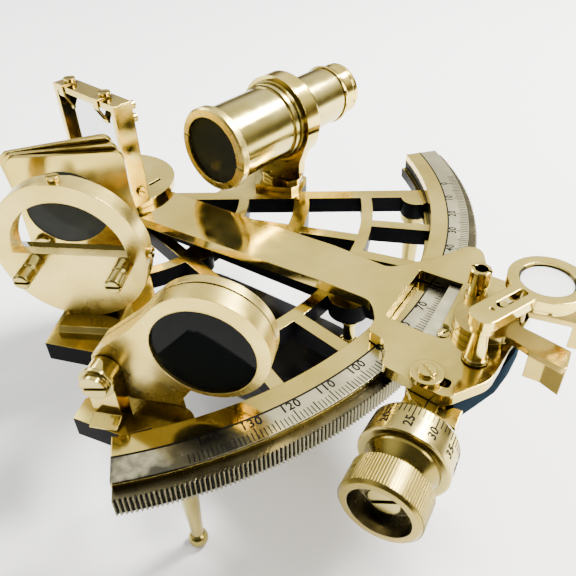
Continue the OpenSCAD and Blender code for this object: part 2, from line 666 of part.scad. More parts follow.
module index_shade_post() color("#d9b45a") stand() upright(shade_at, shade_turn) difference() {
    union() {
        boss(shade_pin_u, shade_pin_z, post_half, shade_post_w[0], shade_post_w[1]);
        translate([shade_pin_u - post_half, -shade_post_w[1], frame_top])
            cube([2 * post_half, shade_post_w[1] - shade_post_w[0], shade_pin_z - frame_top]);
    }
    boss(shade_pin_u, shade_pin_z, shade_pin_r + seat_clear, shade_post_w[0] - 1, shade_post_w[1] + 1);
}
module index_shade_pin() color("#c9a24d") stand() upright(shade_at, shade_turn) {
    boss(shade_pin_u, shade_pin_z, shade_pin_r, shade_post_w[0], face_clear);
    translate([shade_pin_u, -face_clear, shade_pin_z]) rotate([90, 0, 0])
        slotted_head([0, 0], shade_pin_r + 1.5, 1.8, 0, 40);
}

// Horizon shades: two heavy rings with dark glass, with ears on one pin
ring_collar_r = 4.6;
ring_collar_t = 1;
ring_eye = [-0.8, sight_z - 1.5];
rear_w = [-ring_front_t - ring_gap - ring_rear_t, -ring_front_t - ring_gap];
module ring_ear(w1, w2) difference() {
    union() {
        boss(0, sight_z, ring_r, w1, w2);
        translate([0, -w1, 0]) rotate([90, 0, 0]) linear_extrude(w2 - w1) polygon(rounded([
            [-2, sight_z - 10, 0], [-9.5, ring_pin_z - 10.2, 0], [-ring_pin_u + 4.2, ring_pin_z - 10.9, 2.5],
            [-ring_pin_u - 3.8, ring_pin_z - 3, 3], [-ring_pin_u - 3.8, ring_pin_z + 3.4, 5],
            [-17.9, sight_z + 3.6, 8], [-11.7, sight_z + 10.6, 0], [0, sight_z + 8, 0]
        ]));
    }
    boss(ring_eye.x, ring_eye.y, ring_glass_r, w1 - 1, w2 + 1);
    boss(-ring_pin_u, ring_pin_z, ring_pin_r + run_clear, w1 - 1, w2 + 1);
}
module horizon_shade_front() color("#dcb95f") stand() upright(ring_at, ring_turn) ring_ear(-ring_front_t, 0);
module horizon_shade_rear() color("#dcb95f") stand() upright(ring_at, ring_turn) ring_ear(rear_w[0], rear_w[1]);
module ring_glass_front() color("#15191b", 0.9) stand() upright(ring_at, ring_turn)
    boss(ring_eye.x, ring_eye.y, ring_glass_r - seat_clear, -ring_front_t + 1.6, -1);
module ring_glass_rear() color("#15191b", 0.9) stand() upright(ring_at, ring_turn)
    boss(ring_eye.x, ring_eye.y, ring_glass_r - seat_clear, rear_w[0] + 0.4, rear_w[1] - 0.4);
module horizon_shade_post() color("#d9b45a") stand() upright(ring_at, ring_turn) difference() {
    union() {
        boss(-ring_pin_u, ring_pin_z, 3.9, ring_post_w[0], ring_post_w[1]);
        translate([ring_post_u[0], -ring_post_w[1], frame_top])
            cube([ring_post_u[1] - ring_post_u[0], ring_post_w[1] - ring_post_w[0], ring_pin_z - frame_top]);
        translate([ring_post_u[0], 0, 0]) rotate([90, 0, 90]) linear_extrude(ring_post_u[1] - ring_post_u[0])
            polygon([
                [-ring_post_w[1] - 3.6, frame_top], [-ring_post_w[0], frame_top], [-ring_post_w[0], 0],
                [-ring_post_w[1], 0], [-ring_post_w[1], frame_top + 1.8], [-ring_post_w[1] - 3.6, frame_top + 0.6]
            ]);
    }
    boss(-ring_pin_u, ring_pin_z, ring_pin_r + seat_clear, ring_post_w[0] - 1, ring_post_w[1] + 1);
}
module horizon_shade_pin() color("#c9a24d") stand() upright(ring_at, ring_turn) {
    boss(-ring_pin_u, ring_pin_z, ring_pin_r, rear_w[0] - 0.6, ring_post_w[1]);
    boss(-ring_pin_u, ring_pin_z, ring_collar_r, ring_post_w[1], ring_post_w[1] + ring_collar_t);
    translate([-ring_pin_u, -ring_post_w[1] - ring_collar_t, ring_pin_z]) rotate([90, 0, 0])
        slotted_head([0, 0], 3.5, 1.9, 0, 12);
}

// Index arm with its reading window and end plate
function tail(x, y, r = 0) = [line_r + x, y, r];
arm_outline = [
    [0, -13.4, 0], [37.8, -10.8, 0], tail(-28.2, -6.4, 6), tail(-10, -6, 6), tail(-5.2, -12.5, 3),
    tail(-4.4, -17.6, 2), tail(0.5, -18.6, 3), tail(3.6, -22.5, 2.5), tail(5, -27.3, 2.5),
    tail(23.6, -28.6, 4), tail(30.5, -17, 9), tail(30.5, 24.5, 5.5), tail(14, 24.5, 3),
    tail(4.6, 40.5, 3.8), tail(-3, 24.5, 3), tail(-13.5, 11, 5), tail(-33.7, 11.8, 30),
    [46, 8.9, 0], [0, 7.4, 0]
];
lever_plan = [line_r + lever_at.x, lever_at.y];
swing_plan = [line_r + swing_at.x, swing_at.y];
pillar_plan = [line_r + pillar_at.x, pillar_at.y];
socket_plan = [line_r + 14.5, 12.5];
stop_plan = [line_r + 28.7, 8.6];
stem_r = 3;
swing_r = 2.2;
index_floor = arm_bottom + 0.8;
index_t = 1.2;
function index_outline(c = 0) = rounded([
    tail(5.4 - c, 15.2 + c), tail(9 + c, 16.1 + c), tail(11.4 + c, -3.4 + c),
    tail(14.7 + c, -3.8 + c, 2.4), tail(15.3 + c, -9.6 - c, 2.4), tail(8 - c, -9.8 - c)
]);
index_screw = [line_r + 13.1, -6.4];
module index_arm() color("#dcb95f") stand() difference() {
    union() {
        rod([0, 0], arm_end_r, arm_bottom, arm_top);
        plate(rounded(arm_outline), arm_bottom, arm_top);
    }
    plate(rounded([tail(-4.7, 15.3, 0.6), tail(-3.3, -9.8, 0.6), tail(10.3, -10, 0.6), tail(9.1, 16, 0.6)]),
        arm_bottom - 1, arm_top + 1);
    plate(index_outline(seat_clear), index_floor, arm_top + 1);
    rod([0, 0], shaft_r - run_clear + seat_clear, arm_bottom - 1, arm_top + 1);
    rod(lever_plan, stem_r + run_clear, arm_bottom - 1, arm_top + 1);
    rod(swing_plan, swing_r + seat_clear, arm_bottom - 1, arm_top + 1);
    plate(rounded([
        [swing_plan.x + 3.2, swing_plan.y - 1.2, 1], [swing_plan.x + 6.4, swing_plan.y - 0.8, 1],
        [swing_plan.x + 6.2, swing_plan.y + 2.2, 1], [swing_plan.x + 3.2, swing_plan.y + 2, 1]
    ]), arm_bottom - 1, arm_top + 1);
}
shaft_bottom = bush_bottom - 5.5;
module pivot_shaft() color("#c9a24d") stand() rod([0, 0], shaft_r - run_clear, shaft_bottom, arm_top);
module pivot_nut() color("#d9b45a") stand() difference() {
    translate([0, 0, shaft_bottom + 0.5])
        cylinder(r = shaft_r + 3.4, h = bush_bottom - face_clear - shaft_bottom - 0.5, $fn = 6);
    rod([0, 0], shaft_r - run_clear + seat_clear, shaft_bottom - 1, bush_bottom + 1);
}
module mirror_base() color("#d9b45a") stand() difference() {
    rod([base_x, 0], base_r, arm_top, base_top);
    plate(rounded([[12.7, 3.6, 0.6], [14, 3.6, 0.6], [14, 9.6, 0.6], [12.7, 9.6, 0.6]]),
        base_top - 1, base_top + 1);
}

// Index mirror: upright tray, glass, two clip springs and the screws
mirror_top = base_top + mirror_h;
mirror_back = 2;
glass_front = mirror_d / 2 - mirror_back - glass_t;
glass_face = mirror_back + glass_t - mirror_d / 2;
clip_u = [-12.5, 8];
clip_t = 0.5;
module index_mirror_frame() color("#dcb95f") stand() upright(mirror_at, mirror_turn) difference() {
    translate([-mirror_w / 2, -mirror_d / 2, base_top]) cube([mirror_w, mirror_d, mirror_h]);
    translate([-mirror_w / 2 + mirror_rim, -mirror_d / 2 - 1, base_top + mirror_rim])
        cube([mirror_w - 2 * mirror_rim, mirror_d + 1 - mirror_back, mirror_h - 2 * mirror_rim]);
}
module index_mirror_glass() color("#aab4b8") stand() upright(mirror_at, mirror_turn)
    translate([-mirror_w / 2 + mirror_rim + seat_clear, glass_front, base_top + mirror_rim + seat_clear])
        cube([mirror_w - 2 * mirror_rim - 2 * seat_clear, glass_t, mirror_h - 2 * mirror_rim - 2 * seat_clear]);
module mirror_clips() color("#d9b45a") stand() upright(mirror_at, mirror_turn) for (u = clip_u)
    translate([u - 1.5, 0, mirror_top]) rotate([90, 0, 90]) linear_extrude(3) polygon([
        [1.5, 0], [1.5, clip_t], [-mirror_d / 2 - clip_t, clip_t], [-mirror_d / 2 - clip_t, -mirror_rim - 1],
        [-glass_face - clip_t, -mirror_rim - 5.5], [-glass_face - clip_t, -mirror_rim - 6.5],
        [-glass_face - face_clear, -mirror_rim - 6.5], [-glass_face - face_clear, -mirror_rim - 5.3],
        [-mirror_d / 2, -mirror_rim - 0.8], [-mirror_d / 2, 0]
    ]);
module mirror_screws() color("#c9a24d") stand() upright(mirror_at, mirror_turn) {
    for (u = clip_u) slotted_head([u, 0.2], 2.1, 1.3, mirror_top + clip_t, 35);
    for (z = [2.6, 7]) translate([mirror_w / 2 - 2.6, mirror_d / 2, mirror_top - z]) rotate([-90, 0, 0])
        slotted_head([0, 0], 1.5, 2.4, 0, 20);
    translate([mirror_w / 2, 0.6, base_top + 5.5]) rotate([0, 90, 0]) slotted_head([0, 0], 1.5, 1.1, 0, 50);
}
module index_plate() color("#c8c8bf") stand() plate(index_outline(), index_floor, index_floor + index_t);
module arm_screws() color("#c9a24d") stand() {
    slotted_head(index_screw, 1.7, 0.9, index_floor + index_t, 65);
    for (k = [0, 1]) slotted_head([line_r + 24.4 + 3 * k, 14.2 + 1.4 * k], 1.1, 0.7, arm_top + lever_t, 30);
}

// Dark guard round the worm, under the end plate
guard_t = 2;
guard_bottom = -8;
guard_path = [[25, -25.4], [28, -16.6], [30.6, -8.6], [31.2, -0.2], [30.8, 8.5]];
module worm_guard() color("#2a2f36") stand() plate(concat(
    [for (i = [0:4]) tail(guard_path[i].x, guard_path[i].y)],
    [for (i = [4:-1:0]) tail(guard_path[i].x - guard_t, guard_path[i].y)]
), guard_bottom, arm_bottom);

// Two squeeze levers: the fixed one on the plate and the one that frees the worm
seat_top = arm_top + lever_t;
lever_bottom = seat_top + face_clear;
lever_top = lever_bottom + lever_t;
tab_h = 7.5;
module fixed_lever() color("#d9b45a") stand() {
    plate(rounded([
        tail(22, 11.2, 1), tail(25.5, 17.2, 1.5), tail(fixed_reach - 11, 22.6, 6), tail(fixed_reach, 23.6, 1.5),
        tail(fixed_reach, 15.6, 0.5), tail(fixed_reach - 10, 14.4, 6), tail(25, 10.6, 1)
    ]), arm_top, seat_top);
    plate([
        tail(fixed_reach - 9.4, 14.6), tail(fixed_reach - 9.4, 16.2), tail(fixed_reach - 4.7, 17.4),
        tail(fixed_reach, 17.2), tail(fixed_reach, 15.7), tail(fixed_reach - 4.7, 15.9)
    ], arm_top - tab_h, arm_top);
    rod(stop_plan, 1.2, arm_top, arm_top + 4.5);
}
module lever_seat() color("#d9b45a") stand() difference() {
    rod(lever_plan, lever_hub_r, arm_top, seat_top);
    rod(lever_plan, stem_r + run_clear, arm_top - 1, seat_top + 1);
}
crank_r = 6;
crank_t = 1.4;
crank_throw = 4;
crank_top = arm_bottom - pass_clear;
pin_r = 1;
module release_lever() color("#dcb95f") stand() {
    rod(lever_plan, lever_hub_r, lever_bottom, lever_top);
    plate(rounded([
        [lever_plan.x, lever_plan.y + 6, 0], tail(31, 2.6, 5), tail(release_reach - 1, 0.4, 1), tail(release_reach, -7, 1),
        tail(35.5, -5.2, 0.5), tail(30.5, -3.6, 4), [lever_plan.x, lever_plan.y - 6, 0]
    ]), lever_bottom, lever_top);
    plate([
        tail(35.5, -5.2), tail(35.5, -3.8), tail(release_reach - 5.4, -3.4), tail(release_reach - 0.2, -5.4),
        tail(release_reach - 0.2, -6.8), tail(release_reach - 5.4, -4.9)
    ], lever_bottom - tab_h, lever_bottom);
    rod(lever_plan, stem_r, crank_top - crank_t, lever_bottom);
    rod(lever_plan, crank_r, crank_top - crank_t, crank_top);
    rod(lever_plan + [0, -crank_throw], pin_r, crank_top - crank_t - 3.6, crank_top - crank_t);
}

// Worm carriage, spindle with its worm, divided drum and knurled knob
worm_z = -limb_t - rack_h / 2;
worm_axis = rack_r + worm_gap + worm_r;
module along_worm() translate([worm_axis * cos(worm_dir), worm_axis * sin(worm_dir), worm_z])
    rotate([0, 0, worm_dir]) children();
module spindle_line(t = 0) along_worm() translate([0, -t, 0]) rotate([90, 0, 0]) children();
bar_in = worm_r + 2;
bar_out = bar_in + 2.1;
bar_l = 27;
ear_t = 3;
ear_start = worm_l / 2 + 1.5;
block_end = drum_t - 2;
block_l = 6;
bar_top_z = crank_top - crank_t - face_clear * 2;
carriage_top = arm_bottom - pass_clear;
module worm_carriage() color("#d9b45a") stand() difference() {
    union() {
        along_worm() {
            translate([bar_in, -bar_l, -2.9])
                cube([bar_out - bar_in, bar_l + ear_start + ear_t, bar_top_z - worm_z + 2.9]);
            translate([-3.5, ear_start, -2.9]) cube([bar_out + 3.5, ear_t, 6.2]);
            translate([-6, -block_end, -5]) cube([bar_out + 6, block_l, 5 + carriage_top - worm_z - 0.6]);
        }
        plate([
            swing_plan + [-4, -3], swing_plan + [-4.5, 1], swing_plan + [-2, 4.4], swing_plan + [3, 10],
            swing_plan + [5.4, 19], swing_plan + [9.2, 19], swing_plan + [9.4, 13], swing_plan + [6.6, 5],
            swing_plan + [5.4, -1], swing_plan + [6.4, -8], swing_plan + [-1, -6]
        ], carriage_top - 2.8, carriage_top);
    }
    rod(swing_plan, swing_r + run_clear, carriage_top - 4, carriage_top + 1);
    spindle_line(-ear_start - ear_t - 1) cylinder(r = spindle_r, h = block_end + ear_start + ear_t + 2);
}
module carriage_screw() color("#d9b45a") stand() {
    rod(swing_plan, swing_r, carriage_top - 2.7, arm_top);
    rod(swing_plan, 4.4, arm_top, arm_top + 1.6);
    slotted_head(swing_plan, 2.4, 1, arm_top + 1.6, -35);
}
worm_core = worm_r - 1.1;
thread_pitch = 2 * PI * rack_r * tooth_angle / 360;
thread_turns = (worm_l - 1.6) / thread_pitch;
thread_steps = 20;
function thread_ring(i) =
    let (a = 360 * i / thread_steps, z = 0.8 + thread_pitch * i / thread_steps, g = thread_pitch * 0.42)
    [
        [(worm_core - 0.3) * cos(a), (worm_core - 0.3) * sin(a), z - g],
        [worm_r * cos(a), worm_r * sin(a), z],
        [(worm_core - 0.3) * cos(a), (worm_core - 0.3) * sin(a), z + g]
    ];
module worm_thread() {
    last = floor(thread_turns * thread_steps);
    polyhedron(
        points = [for (i = [0:last]) each thread_ring(i)],
        faces = concat(
            [[2, 1, 0]],
            [for (i = [0:last - 1], k = [0:2])
                let (a = 3 * i + k, b = 3 * i + (k + 1) % 3)
                each [[b + 3, a + 3, a], [b, b + 3, a]]],
            [[3 * last, 3 * last + 1, 3 * last + 2]]
        )
    );
}
module worm_shaft() color("#c9a24d") stand() {
    spindle_line(-ear_start - ear_t - 1) cylinder(r = spindle_r - run_clear, h = drum_t + ear_start + ear_t + 16);
    spindle_line(-worm_l / 2) cylinder(r = worm_core, h = worm_l);
    spindle_line(-worm_l / 2) translate([0, 0, 0.2]) worm_thread();
}
drum_end = drum_t + drum_l;
neck_l = 5.6;
module micrometer_drum() color("#dcb95f") stand() spindle_line(drum_t) turned([
    [spindle_r, 0], [drum_r - 2, 0], [drum_r - 0.9, 0.4], [drum_r - 0.5, 1.2], [drum_r - 0.1, drum_l - 0.6],
    [drum_r - 0.1, drum_l - 0.3], [drum_r - 0.6, drum_l], [spindle_r, drum_l]
]);
module micrometer_knob() color("#d0aa52") stand() spindle_line(drum_end) turned([
    [spindle_r, 0], [drum_r - 2.4, 0], [drum_r - 2.6, 0.8], [knob_r - 3.2, neck_l - 1.6], [knob_r - 3.6, neck_l],
    [knob_r - 1, neck_l], [knob_r, neck_l + 0.8], [knob_r, neck_l + knob_l - 0.8],
    [knob_r - 0.7, neck_l + knob_l], [recess_r, neck_l + knob_l], [recess_r - 0.5, neck_l + 3.4],
    [spindle_r, neck_l + 3.4]
]);
module knob_screw() color("#c9a24d") stand() spindle_line(drum_end + neck_l + 3.4)
    slotted_head([0, 0], 4, 2.6, 0, 35);

// Tapped socket post and the magnifier on its pillar
module socket_post() color("#d9b45a") stand() translate([socket_plan.x, socket_plan.y, arm_top]) difference() {
    turned([
        [0, 0], [3.3, 0], [3.3, 0.9], [2.7, 1.2], [2.7, 4.8], [3.1, 5], [3.1, 10], [2.7, 10.4], [0, 10.4]
    ]);
    translate([0, 0, 5]) cylinder(r = 1.9, h = 8);
    translate([-4, -0.4, 9.2]) cube([8, 0.8, 2]);
}
link_t = 2;
link_bottom = bar_z - face_clear - link_t;
pillar_top = link_bottom - face_clear;
link_l = 6.8;
module lens_pillar() color("#d9b45a") stand() translate([pillar_plan.x, pillar_plan.y, arm_top]) turned([
    [0, 0], [3.1, 0], [3.5, 0.6], [3.1, 1.3], [2.8, 1.6], [1.95, pillar_top - arm_top - 0.8],
    [2.4, pillar_top - arm_top], [1.4, pillar_top - arm_top], [1.4, pillar_top + link_t - arm_top],
    [0, pillar_top + link_t - arm_top]
]);
module bar_line() translate([pillar_plan.x, pillar_plan.y, 0]) rotate([0, 0, bar_turn]) children();
slot_w = 2.4;
slot_from = 5.6;
slot_to = 13.8;
module lens_link() color("#d9b45a") stand() bar_line() {
    difference() {
        union() {
            translate([0, 0, link_bottom]) cylinder(r = 3.2, h = link_t);
            translate([0, -2.6, link_bottom]) cube([link_l + 2, 5.2, link_t]);
        }
        translate([0, 0, link_bottom - 1]) cylinder(r = 1.4 + run_clear, h = link_t + 2);
    }
    translate([link_l, 0, link_bottom + link_t]) cylinder(r = slot_w / 2 - face_clear, h = bar_t - 0.4);
}
module magnifier() color("#dcb95f") stand() bar_line() difference() {
    union() {
        translate([0, 0, bar_z]) linear_extrude(bar_t) polygon(rounded([
            [-3.7, -bar_w / 2, 3], [lens_reach, -bar_w / 2, 0], [lens_reach, bar_w / 2, 0], [-3.7, bar_w / 2, 3]
        ]));
        translate([lens_reach, 0, bar_z]) cylinder(r = lens_ring_r, h = bar_t);
        translate([lens_reach, 0, bar_z - 1.8]) cylinder(r = lens_ring_r - 0.9, h = 2);
    }
    translate([slot_from, -slot_w / 2, bar_z - 1]) cube([slot_to - slot_from, slot_w, bar_t + 2]);
    for (x = [slot_from, slot_to]) translate([x, 0, bar_z - 1]) cylinder(r = slot_w / 2, h = bar_t + 2);
    translate([2.4, 0, bar_z + bar_t - 0.4]) cylinder(r = 0.7, h = 1);
    translate([lens_reach, 0, bar_z - 3]) cylinder(r = lens_r, h = bar_t + 5);
}
module magnifier_lens() color("#d5dddc", 0.5) stand() bar_line()
    translate([lens_reach, 0, bar_z - 0.6]) cylinder(r = lens_r - seat_clear, h = bar_t - 0.4);

frame_casting();
limb_plate();
scale_arc();
rack_arc();
centre_bearing();
legs();
handle();
handle_posts();
telescope_bracket();
telescope_holder();
telescope_tube();
objective_ring();
objective_lens();
eyepiece_tube();
eyepiece_cap();
eye_lens();
horizon_foot();
horizon_holder();
horizon_glass();
horizon_adjusters();
horizon_screws();
index_shade_post();
index_shade_pin();
index_shade_1();
index_shade_2();
index_shade_3();
index_glass_1();
index_glass_2();
index_glass_3();
horizon_shade_post();
horizon_shade_pin();
horizon_shade_front();
horizon_shade_rear();
ring_glass_front();
ring_glass_rear();
index_arm();
pivot_shaft();
pivot_nut();
mirror_base();
index_mirror_frame();
index_mirror_glass();
mirror_clips();
mirror_screws();
index_plate();
arm_screws();
worm_guard();
fixed_lever();
lever_seat();
release_lever();
worm_carriage();
carriage_screw();
worm_shaft();
micrometer_drum();
micrometer_knob();
knob_screw();
socket_post();
lens_pillar();
lens_link();
magnifier();
magnifier_lens();
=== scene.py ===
import math
import bmesh
import bpy
from mathutils import Matrix, Vector


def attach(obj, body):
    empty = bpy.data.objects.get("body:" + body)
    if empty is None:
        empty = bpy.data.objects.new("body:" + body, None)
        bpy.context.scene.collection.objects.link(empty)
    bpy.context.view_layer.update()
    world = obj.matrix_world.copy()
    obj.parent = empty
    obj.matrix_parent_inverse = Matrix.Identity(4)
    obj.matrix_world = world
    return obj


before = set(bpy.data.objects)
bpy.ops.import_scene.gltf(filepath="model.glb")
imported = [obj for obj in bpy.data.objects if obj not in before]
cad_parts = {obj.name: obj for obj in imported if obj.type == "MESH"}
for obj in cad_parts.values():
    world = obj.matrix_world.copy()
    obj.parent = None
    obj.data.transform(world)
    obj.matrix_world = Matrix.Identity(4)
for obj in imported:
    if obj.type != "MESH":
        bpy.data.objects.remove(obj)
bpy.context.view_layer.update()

# The table and the light: a sheet of white paper under three soft lamps, in a room that is bright
# overhead and dim behind the camera, which gives the polished brass its dark streaks.
paper_half = 4
paper_mesh = bpy.data.meshes.new("paper")
paper_mesh.from_pydata(
    [(-paper_half, -paper_half, 0), (paper_half, -paper_half, 0), (paper_half, paper_half, 0),
     (-paper_half, paper_half, 0)], [], [(0, 1, 2, 3)])
paper = bpy.data.objects.new("paper", paper_mesh)
bpy.context.scene.collection.objects.link(paper)
white_paper = bpy.data.materials.new("white_paper")
white_paper.use_nodes = True
tree = white_paper.node_tree
sheet = tree.nodes["Principled BSDF"]
sheet.inputs["Roughness"].default_value = 0.75
where = tree.nodes.new("ShaderNodeTexCoord")
fibre = tree.nodes.new("ShaderNodeTexNoise")
fibre.inputs["Scale"].default_value = 3.0
tree.links.new(where.outputs["Object"], fibre.inputs["Vector"])
tint = tree.nodes.new("ShaderNodeMix")
tint.data_type = "RGBA"
tint.inputs["A"].default_value = (0.86, 0.86, 0.87, 1)
tint.inputs["B"].default_value = (0.91, 0.90, 0.89, 1)
tree.links.new(fibre.outputs["Fac"], tint.inputs["Factor"])
tree.links.new(tint.outputs["Result"], sheet.inputs["Base Color"])
paper_mesh.materials.append(white_paper)

room = bpy.data.worlds.new("room")
bpy.context.scene.world = room
room.use_nodes = True
tree = room.node_tree
sky = tree.nodes["Background"]
look = tree.nodes.new("ShaderNodeTexCoord")
split = tree.nodes.new("ShaderNodeSeparateXYZ")
tree.links.new(look.outputs["Generated"], split.inputs["Vector"])
height = tree.nodes.new("ShaderNodeValToRGB")
height.color_ramp.elements[0].position = 0.0
height.color_ramp.elements[0].color = (0.55, 0.52, 0.47, 1)
height.color_ramp.elements[1].position = 1.0
height.color_ramp.elements[1].color = (1.0, 0.99, 0.96, 1)
for place, colour in (
    (0.49, (0.30, 0.27, 0.21, 1)),
    (0.56, (0.10, 0.09, 0.065, 1)),
    (0.63, (0.22, 0.20, 0.15, 1)),
    (0.74, (0.95, 0.94, 0.90, 1)),
):
    stop = height.color_ramp.elements.new(place)
    stop.color = colour
lift = tree.nodes.new("ShaderNodeMath")
lift.operation = "MULTIPLY_ADD"
lift.inputs[1].default_value = 0.5
lift.inputs[2].default_value = 0.5
tree.links.new(split.outputs["Z"], lift.inputs[0])
tree.links.new(lift.outputs[0], height.inputs["Fac"])
facing = tree.nodes.new("ShaderNodeVectorMath")
facing.operation = "DOT_PRODUCT"
facing.inputs[1].default_value = (0.54, -0.72, 0.44)
tree.links.new(look.outputs["Generated"], facing.inputs[0])
shadow_side = tree.nodes.new("ShaderNodeMapRange")
shadow_side.interpolation_type = "SMOOTHSTEP"
shadow_side.inputs["From Min"].default_value = 0.45
shadow_side.inputs["From Max"].default_value = 0.85
shadow_side.inputs["To Min"].default_value = 1.0
shadow_side.inputs["To Max"].default_value = 0.12
tree.links.new(facing.outputs["Value"], shadow_side.inputs["Value"])
dimmed = tree.nodes.new("ShaderNodeVectorMath")
dimmed.operation = "SCALE"
tree.links.new(height.outputs["Color"], dimmed.inputs[0])
tree.links.new(shadow_side.outputs["Result"], dimmed.inputs["Scale"])
tree.links.new(dimmed.outputs["Vector"], sky.inputs["Color"])
sky.inputs["Strength"].default_value = 1.5

lamp_aim = Vector((0.0, 0.0, 0.05))
for name, spot, wide, power, colour in (
    ("lamp_above", (0.32, 0.66, 0.95), 0.35, 66.0, (1.0, 0.985, 0.95)),
    ("lamp_right", (0.95, 0.20, 0.60), 0.5, 12.0, (1.0, 0.93, 0.80)),
    ("lamp_left", (-0.90, 0.02, 0.70), 0.5, 9.0, (0.90, 0.94, 1.0)),
):
    ray = Vector(spot) - lamp_aim
    lamp = bpy.data.lights.new(name, "AREA")
    lamp.size = wide
    lamp.energy = power
    lamp.color = colour
    lamp_object = bpy.data.objects.new(name, lamp)
    lamp_object.matrix_world = Matrix.Translation(spot) @ ray.to_track_quat("Z", "Y").to_matrix().to_4x4()
    bpy.context.scene.collection.objects.link(lamp_object)

# The camera: a phone-like lens held close above the drum, looking down along the index arm. Its
# place, tilt and lens were fitted to the ellipses of the limb, the tubes and the shades.
eye = Vector((0.10112, -0.136445, 0.18281))
target = Vector((0.01104, -0.015887, 0.062))
roll = math.radians(-1.8118)
forward = (target - eye).normalized()
level = forward.cross(Vector((0, 0, 1))).normalized()
above = level.cross(forward)
right = math.cos(roll) * level + math.sin(roll) * above
up = math.cos(roll) * above - math.sin(roll) * level
camera = bpy.data.cameras.new("camera")
picture_width = 576
focal_pixels = 616.662
camera.sensor_width = 36
camera.lens = focal_pixels / picture_width * camera.sensor_width
camera.clip_start = 0.01
camera_object = bpy.data.objects.new("camera", camera)
camera_object.matrix_world = Matrix((
    (right.x, up.x, -forward.x, eye.x), (right.y, up.y, -forward.y, eye.y),
    (right.z, up.z, -forward.z, eye.z), (0, 0, 0, 1)))
bpy.context.scene.collection.objects.link(camera_object)
bpy.context.scene.camera = camera_object

# Frame casting: one sand casting, sprayed black all over and then ground and polished bright on
# its upper faces, so each rib has a brass top and black sides. The pivot's brass bush is let in.
def polished_metal(name, pale=(0.88, 0.69, 0.19), deep=(0.64, 0.48, 0.10), rough=(0.06, 0.16),
                   edge=0.00035, wave=0.08, cloud=45.0):
    """Metal in two tones, with painted shade in its crevices, softened edges and a hand-polished ripple."""
    material = bpy.data.materials.new(name)
    material.use_nodes = True
    tree = material.node_tree
    metal = tree.nodes["Principled BSDF"]
    metal.inputs["Metallic"].default_value = 1.0
    place = tree.nodes.new("ShaderNodeTexCoord")
    stain = tree.nodes.new("ShaderNodeTexNoise")
    stain.inputs["Scale"].default_value = cloud
    stain.inputs["Detail"].default_value = 4.0
    tree.links.new(place.outputs["Object"], stain.inputs["Vector"])
    tone = tree.nodes.new("ShaderNodeMix")
    tone.data_type = "RGBA"
    tone.inputs["A"].default_value = (*deep, 1)
    tone.inputs["B"].default_value = (*pale, 1)
    spread = tree.nodes.new("ShaderNodeMapRange")
    spread.inputs["From Min"].default_value = 0.35
    spread.inputs["From Max"].default_value = 0.65
    tree.links.new(stain.outputs["Fac"], spread.inputs["Value"])
    tree.links.new(spread.outputs["Result"], tone.inputs["Factor"])
    # Painted shade: the colour darkens towards near black wherever other surfaces close in.
    nearby = tree.nodes.new("ShaderNodeAmbientOcclusion")
    nearby.samples = 4
    nearby.inputs["Distance"].default_value = 0.014
    reach = tree.nodes.new("ShaderNodeMapRange")
    reach.inputs["From Min"].default_value = 0.25
    reach.inputs["From Max"].default_value = 0.85
    tree.links.new(nearby.outputs["AO"], reach.inputs["Value"])
    crevice_shade = tree.nodes.new("ShaderNodeMix")
    crevice_shade.data_type = "RGBA"
    crevice_shade.inputs["A"].default_value = (deep[0] * 0.28, deep[1] * 0.30, deep[2] * 0.42, 1)
    tree.links.new(tone.outputs["Result"], crevice_shade.inputs["B"])
    tree.links.new(reach.outputs["Result"], crevice_shade.inputs["Factor"])
    tree.links.new(crevice_shade.outputs["Result"], metal.inputs["Base Color"])
    smear = tree.nodes.new("ShaderNodeTexNoise")
    smear.inputs["Scale"].default_value = 160.0
    smear.inputs["Detail"].default_value = 6.0
    tree.links.new(place.outputs["Object"], smear.inputs["Vector"])
    haze = tree.nodes.new("ShaderNodeMapRange")
    haze.inputs["From Min"].default_value = 0.3
    haze.inputs["From Max"].default_value = 0.7
    haze.inputs["To Min"].default_value = rough[0]
    haze.inputs["To Max"].default_value = rough[1]
    tree.links.new(smear.outputs["Fac"], haze.inputs["Value"])
    tree.links.new(haze.outputs["Result"], metal.inputs["Roughness"])
    hand = tree.nodes.new("ShaderNodeTexNoise")
    hand.inputs["Scale"].default_value = 70.0
    hand.inputs["Detail"].default_value = 2.0
    tree.links.new(place.outputs["Object"], hand.inputs["Vector"])
    round_off = tree.nodes.new("ShaderNodeBevel")
    round_off.samples = 4
    round_off.inputs["Radius"].default_value = edge
    ripple = tree.nodes.new("ShaderNodeBump")
    ripple.inputs["Strength"].default_value = wave
    ripple.inputs["Distance"].default_value = 0.0006
    tree.links.new(hand.outputs["Fac"], ripple.inputs["Height"])
    tree.links.new(round_off.outputs["Normal"], ripple.inputs["Normal"])
    tree.links.new(ripple.outputs["Normal"], metal.inputs["Normal"])
    return material


def finish_node(node, material):
    """Give one CAD node its material."""
    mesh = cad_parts[node].data
    mesh.materials.clear()
    mesh.materials.append(material)


cast_brass = polished_metal("black_cast_frame", wave=0.12, rough=(0.10, 0.22))
tree = cast_brass.node_tree
metal = tree.nodes["Principled BSDF"]
metal.inputs["Specular IOR Level"].default_value = 0.015
facing = tree.nodes.new("ShaderNodeNewGeometry")
parts = tree.nodes.new("ShaderNodeSeparateXYZ")
tree.links.new(facing.outputs["True Normal"], parts.inputs["Vector"])
on_top = tree.nodes.new("ShaderNodeMath")
on_top.operation = "GREATER_THAN"
on_top.inputs[1].default_value = 0.9
tree.links.new(parts.outputs["Z"], on_top.inputs[0])
tree.links.new(on_top.outputs[0], metal.inputs["Metallic"])
paint = tree.nodes.new("ShaderNodeMix")
paint.data_type = "RGBA"
paint.inputs["A"].default_value = (0.0040, 0.0044, 0.0056, 1)
tree.links.new(metal.inputs["Base Color"].links[0].from_socket, paint.inputs["B"])
tree.links.new(on_top.outputs[0], paint.inputs["Factor"])
tree.links.new(paint.outputs["Result"], metal.inputs["Base Color"])
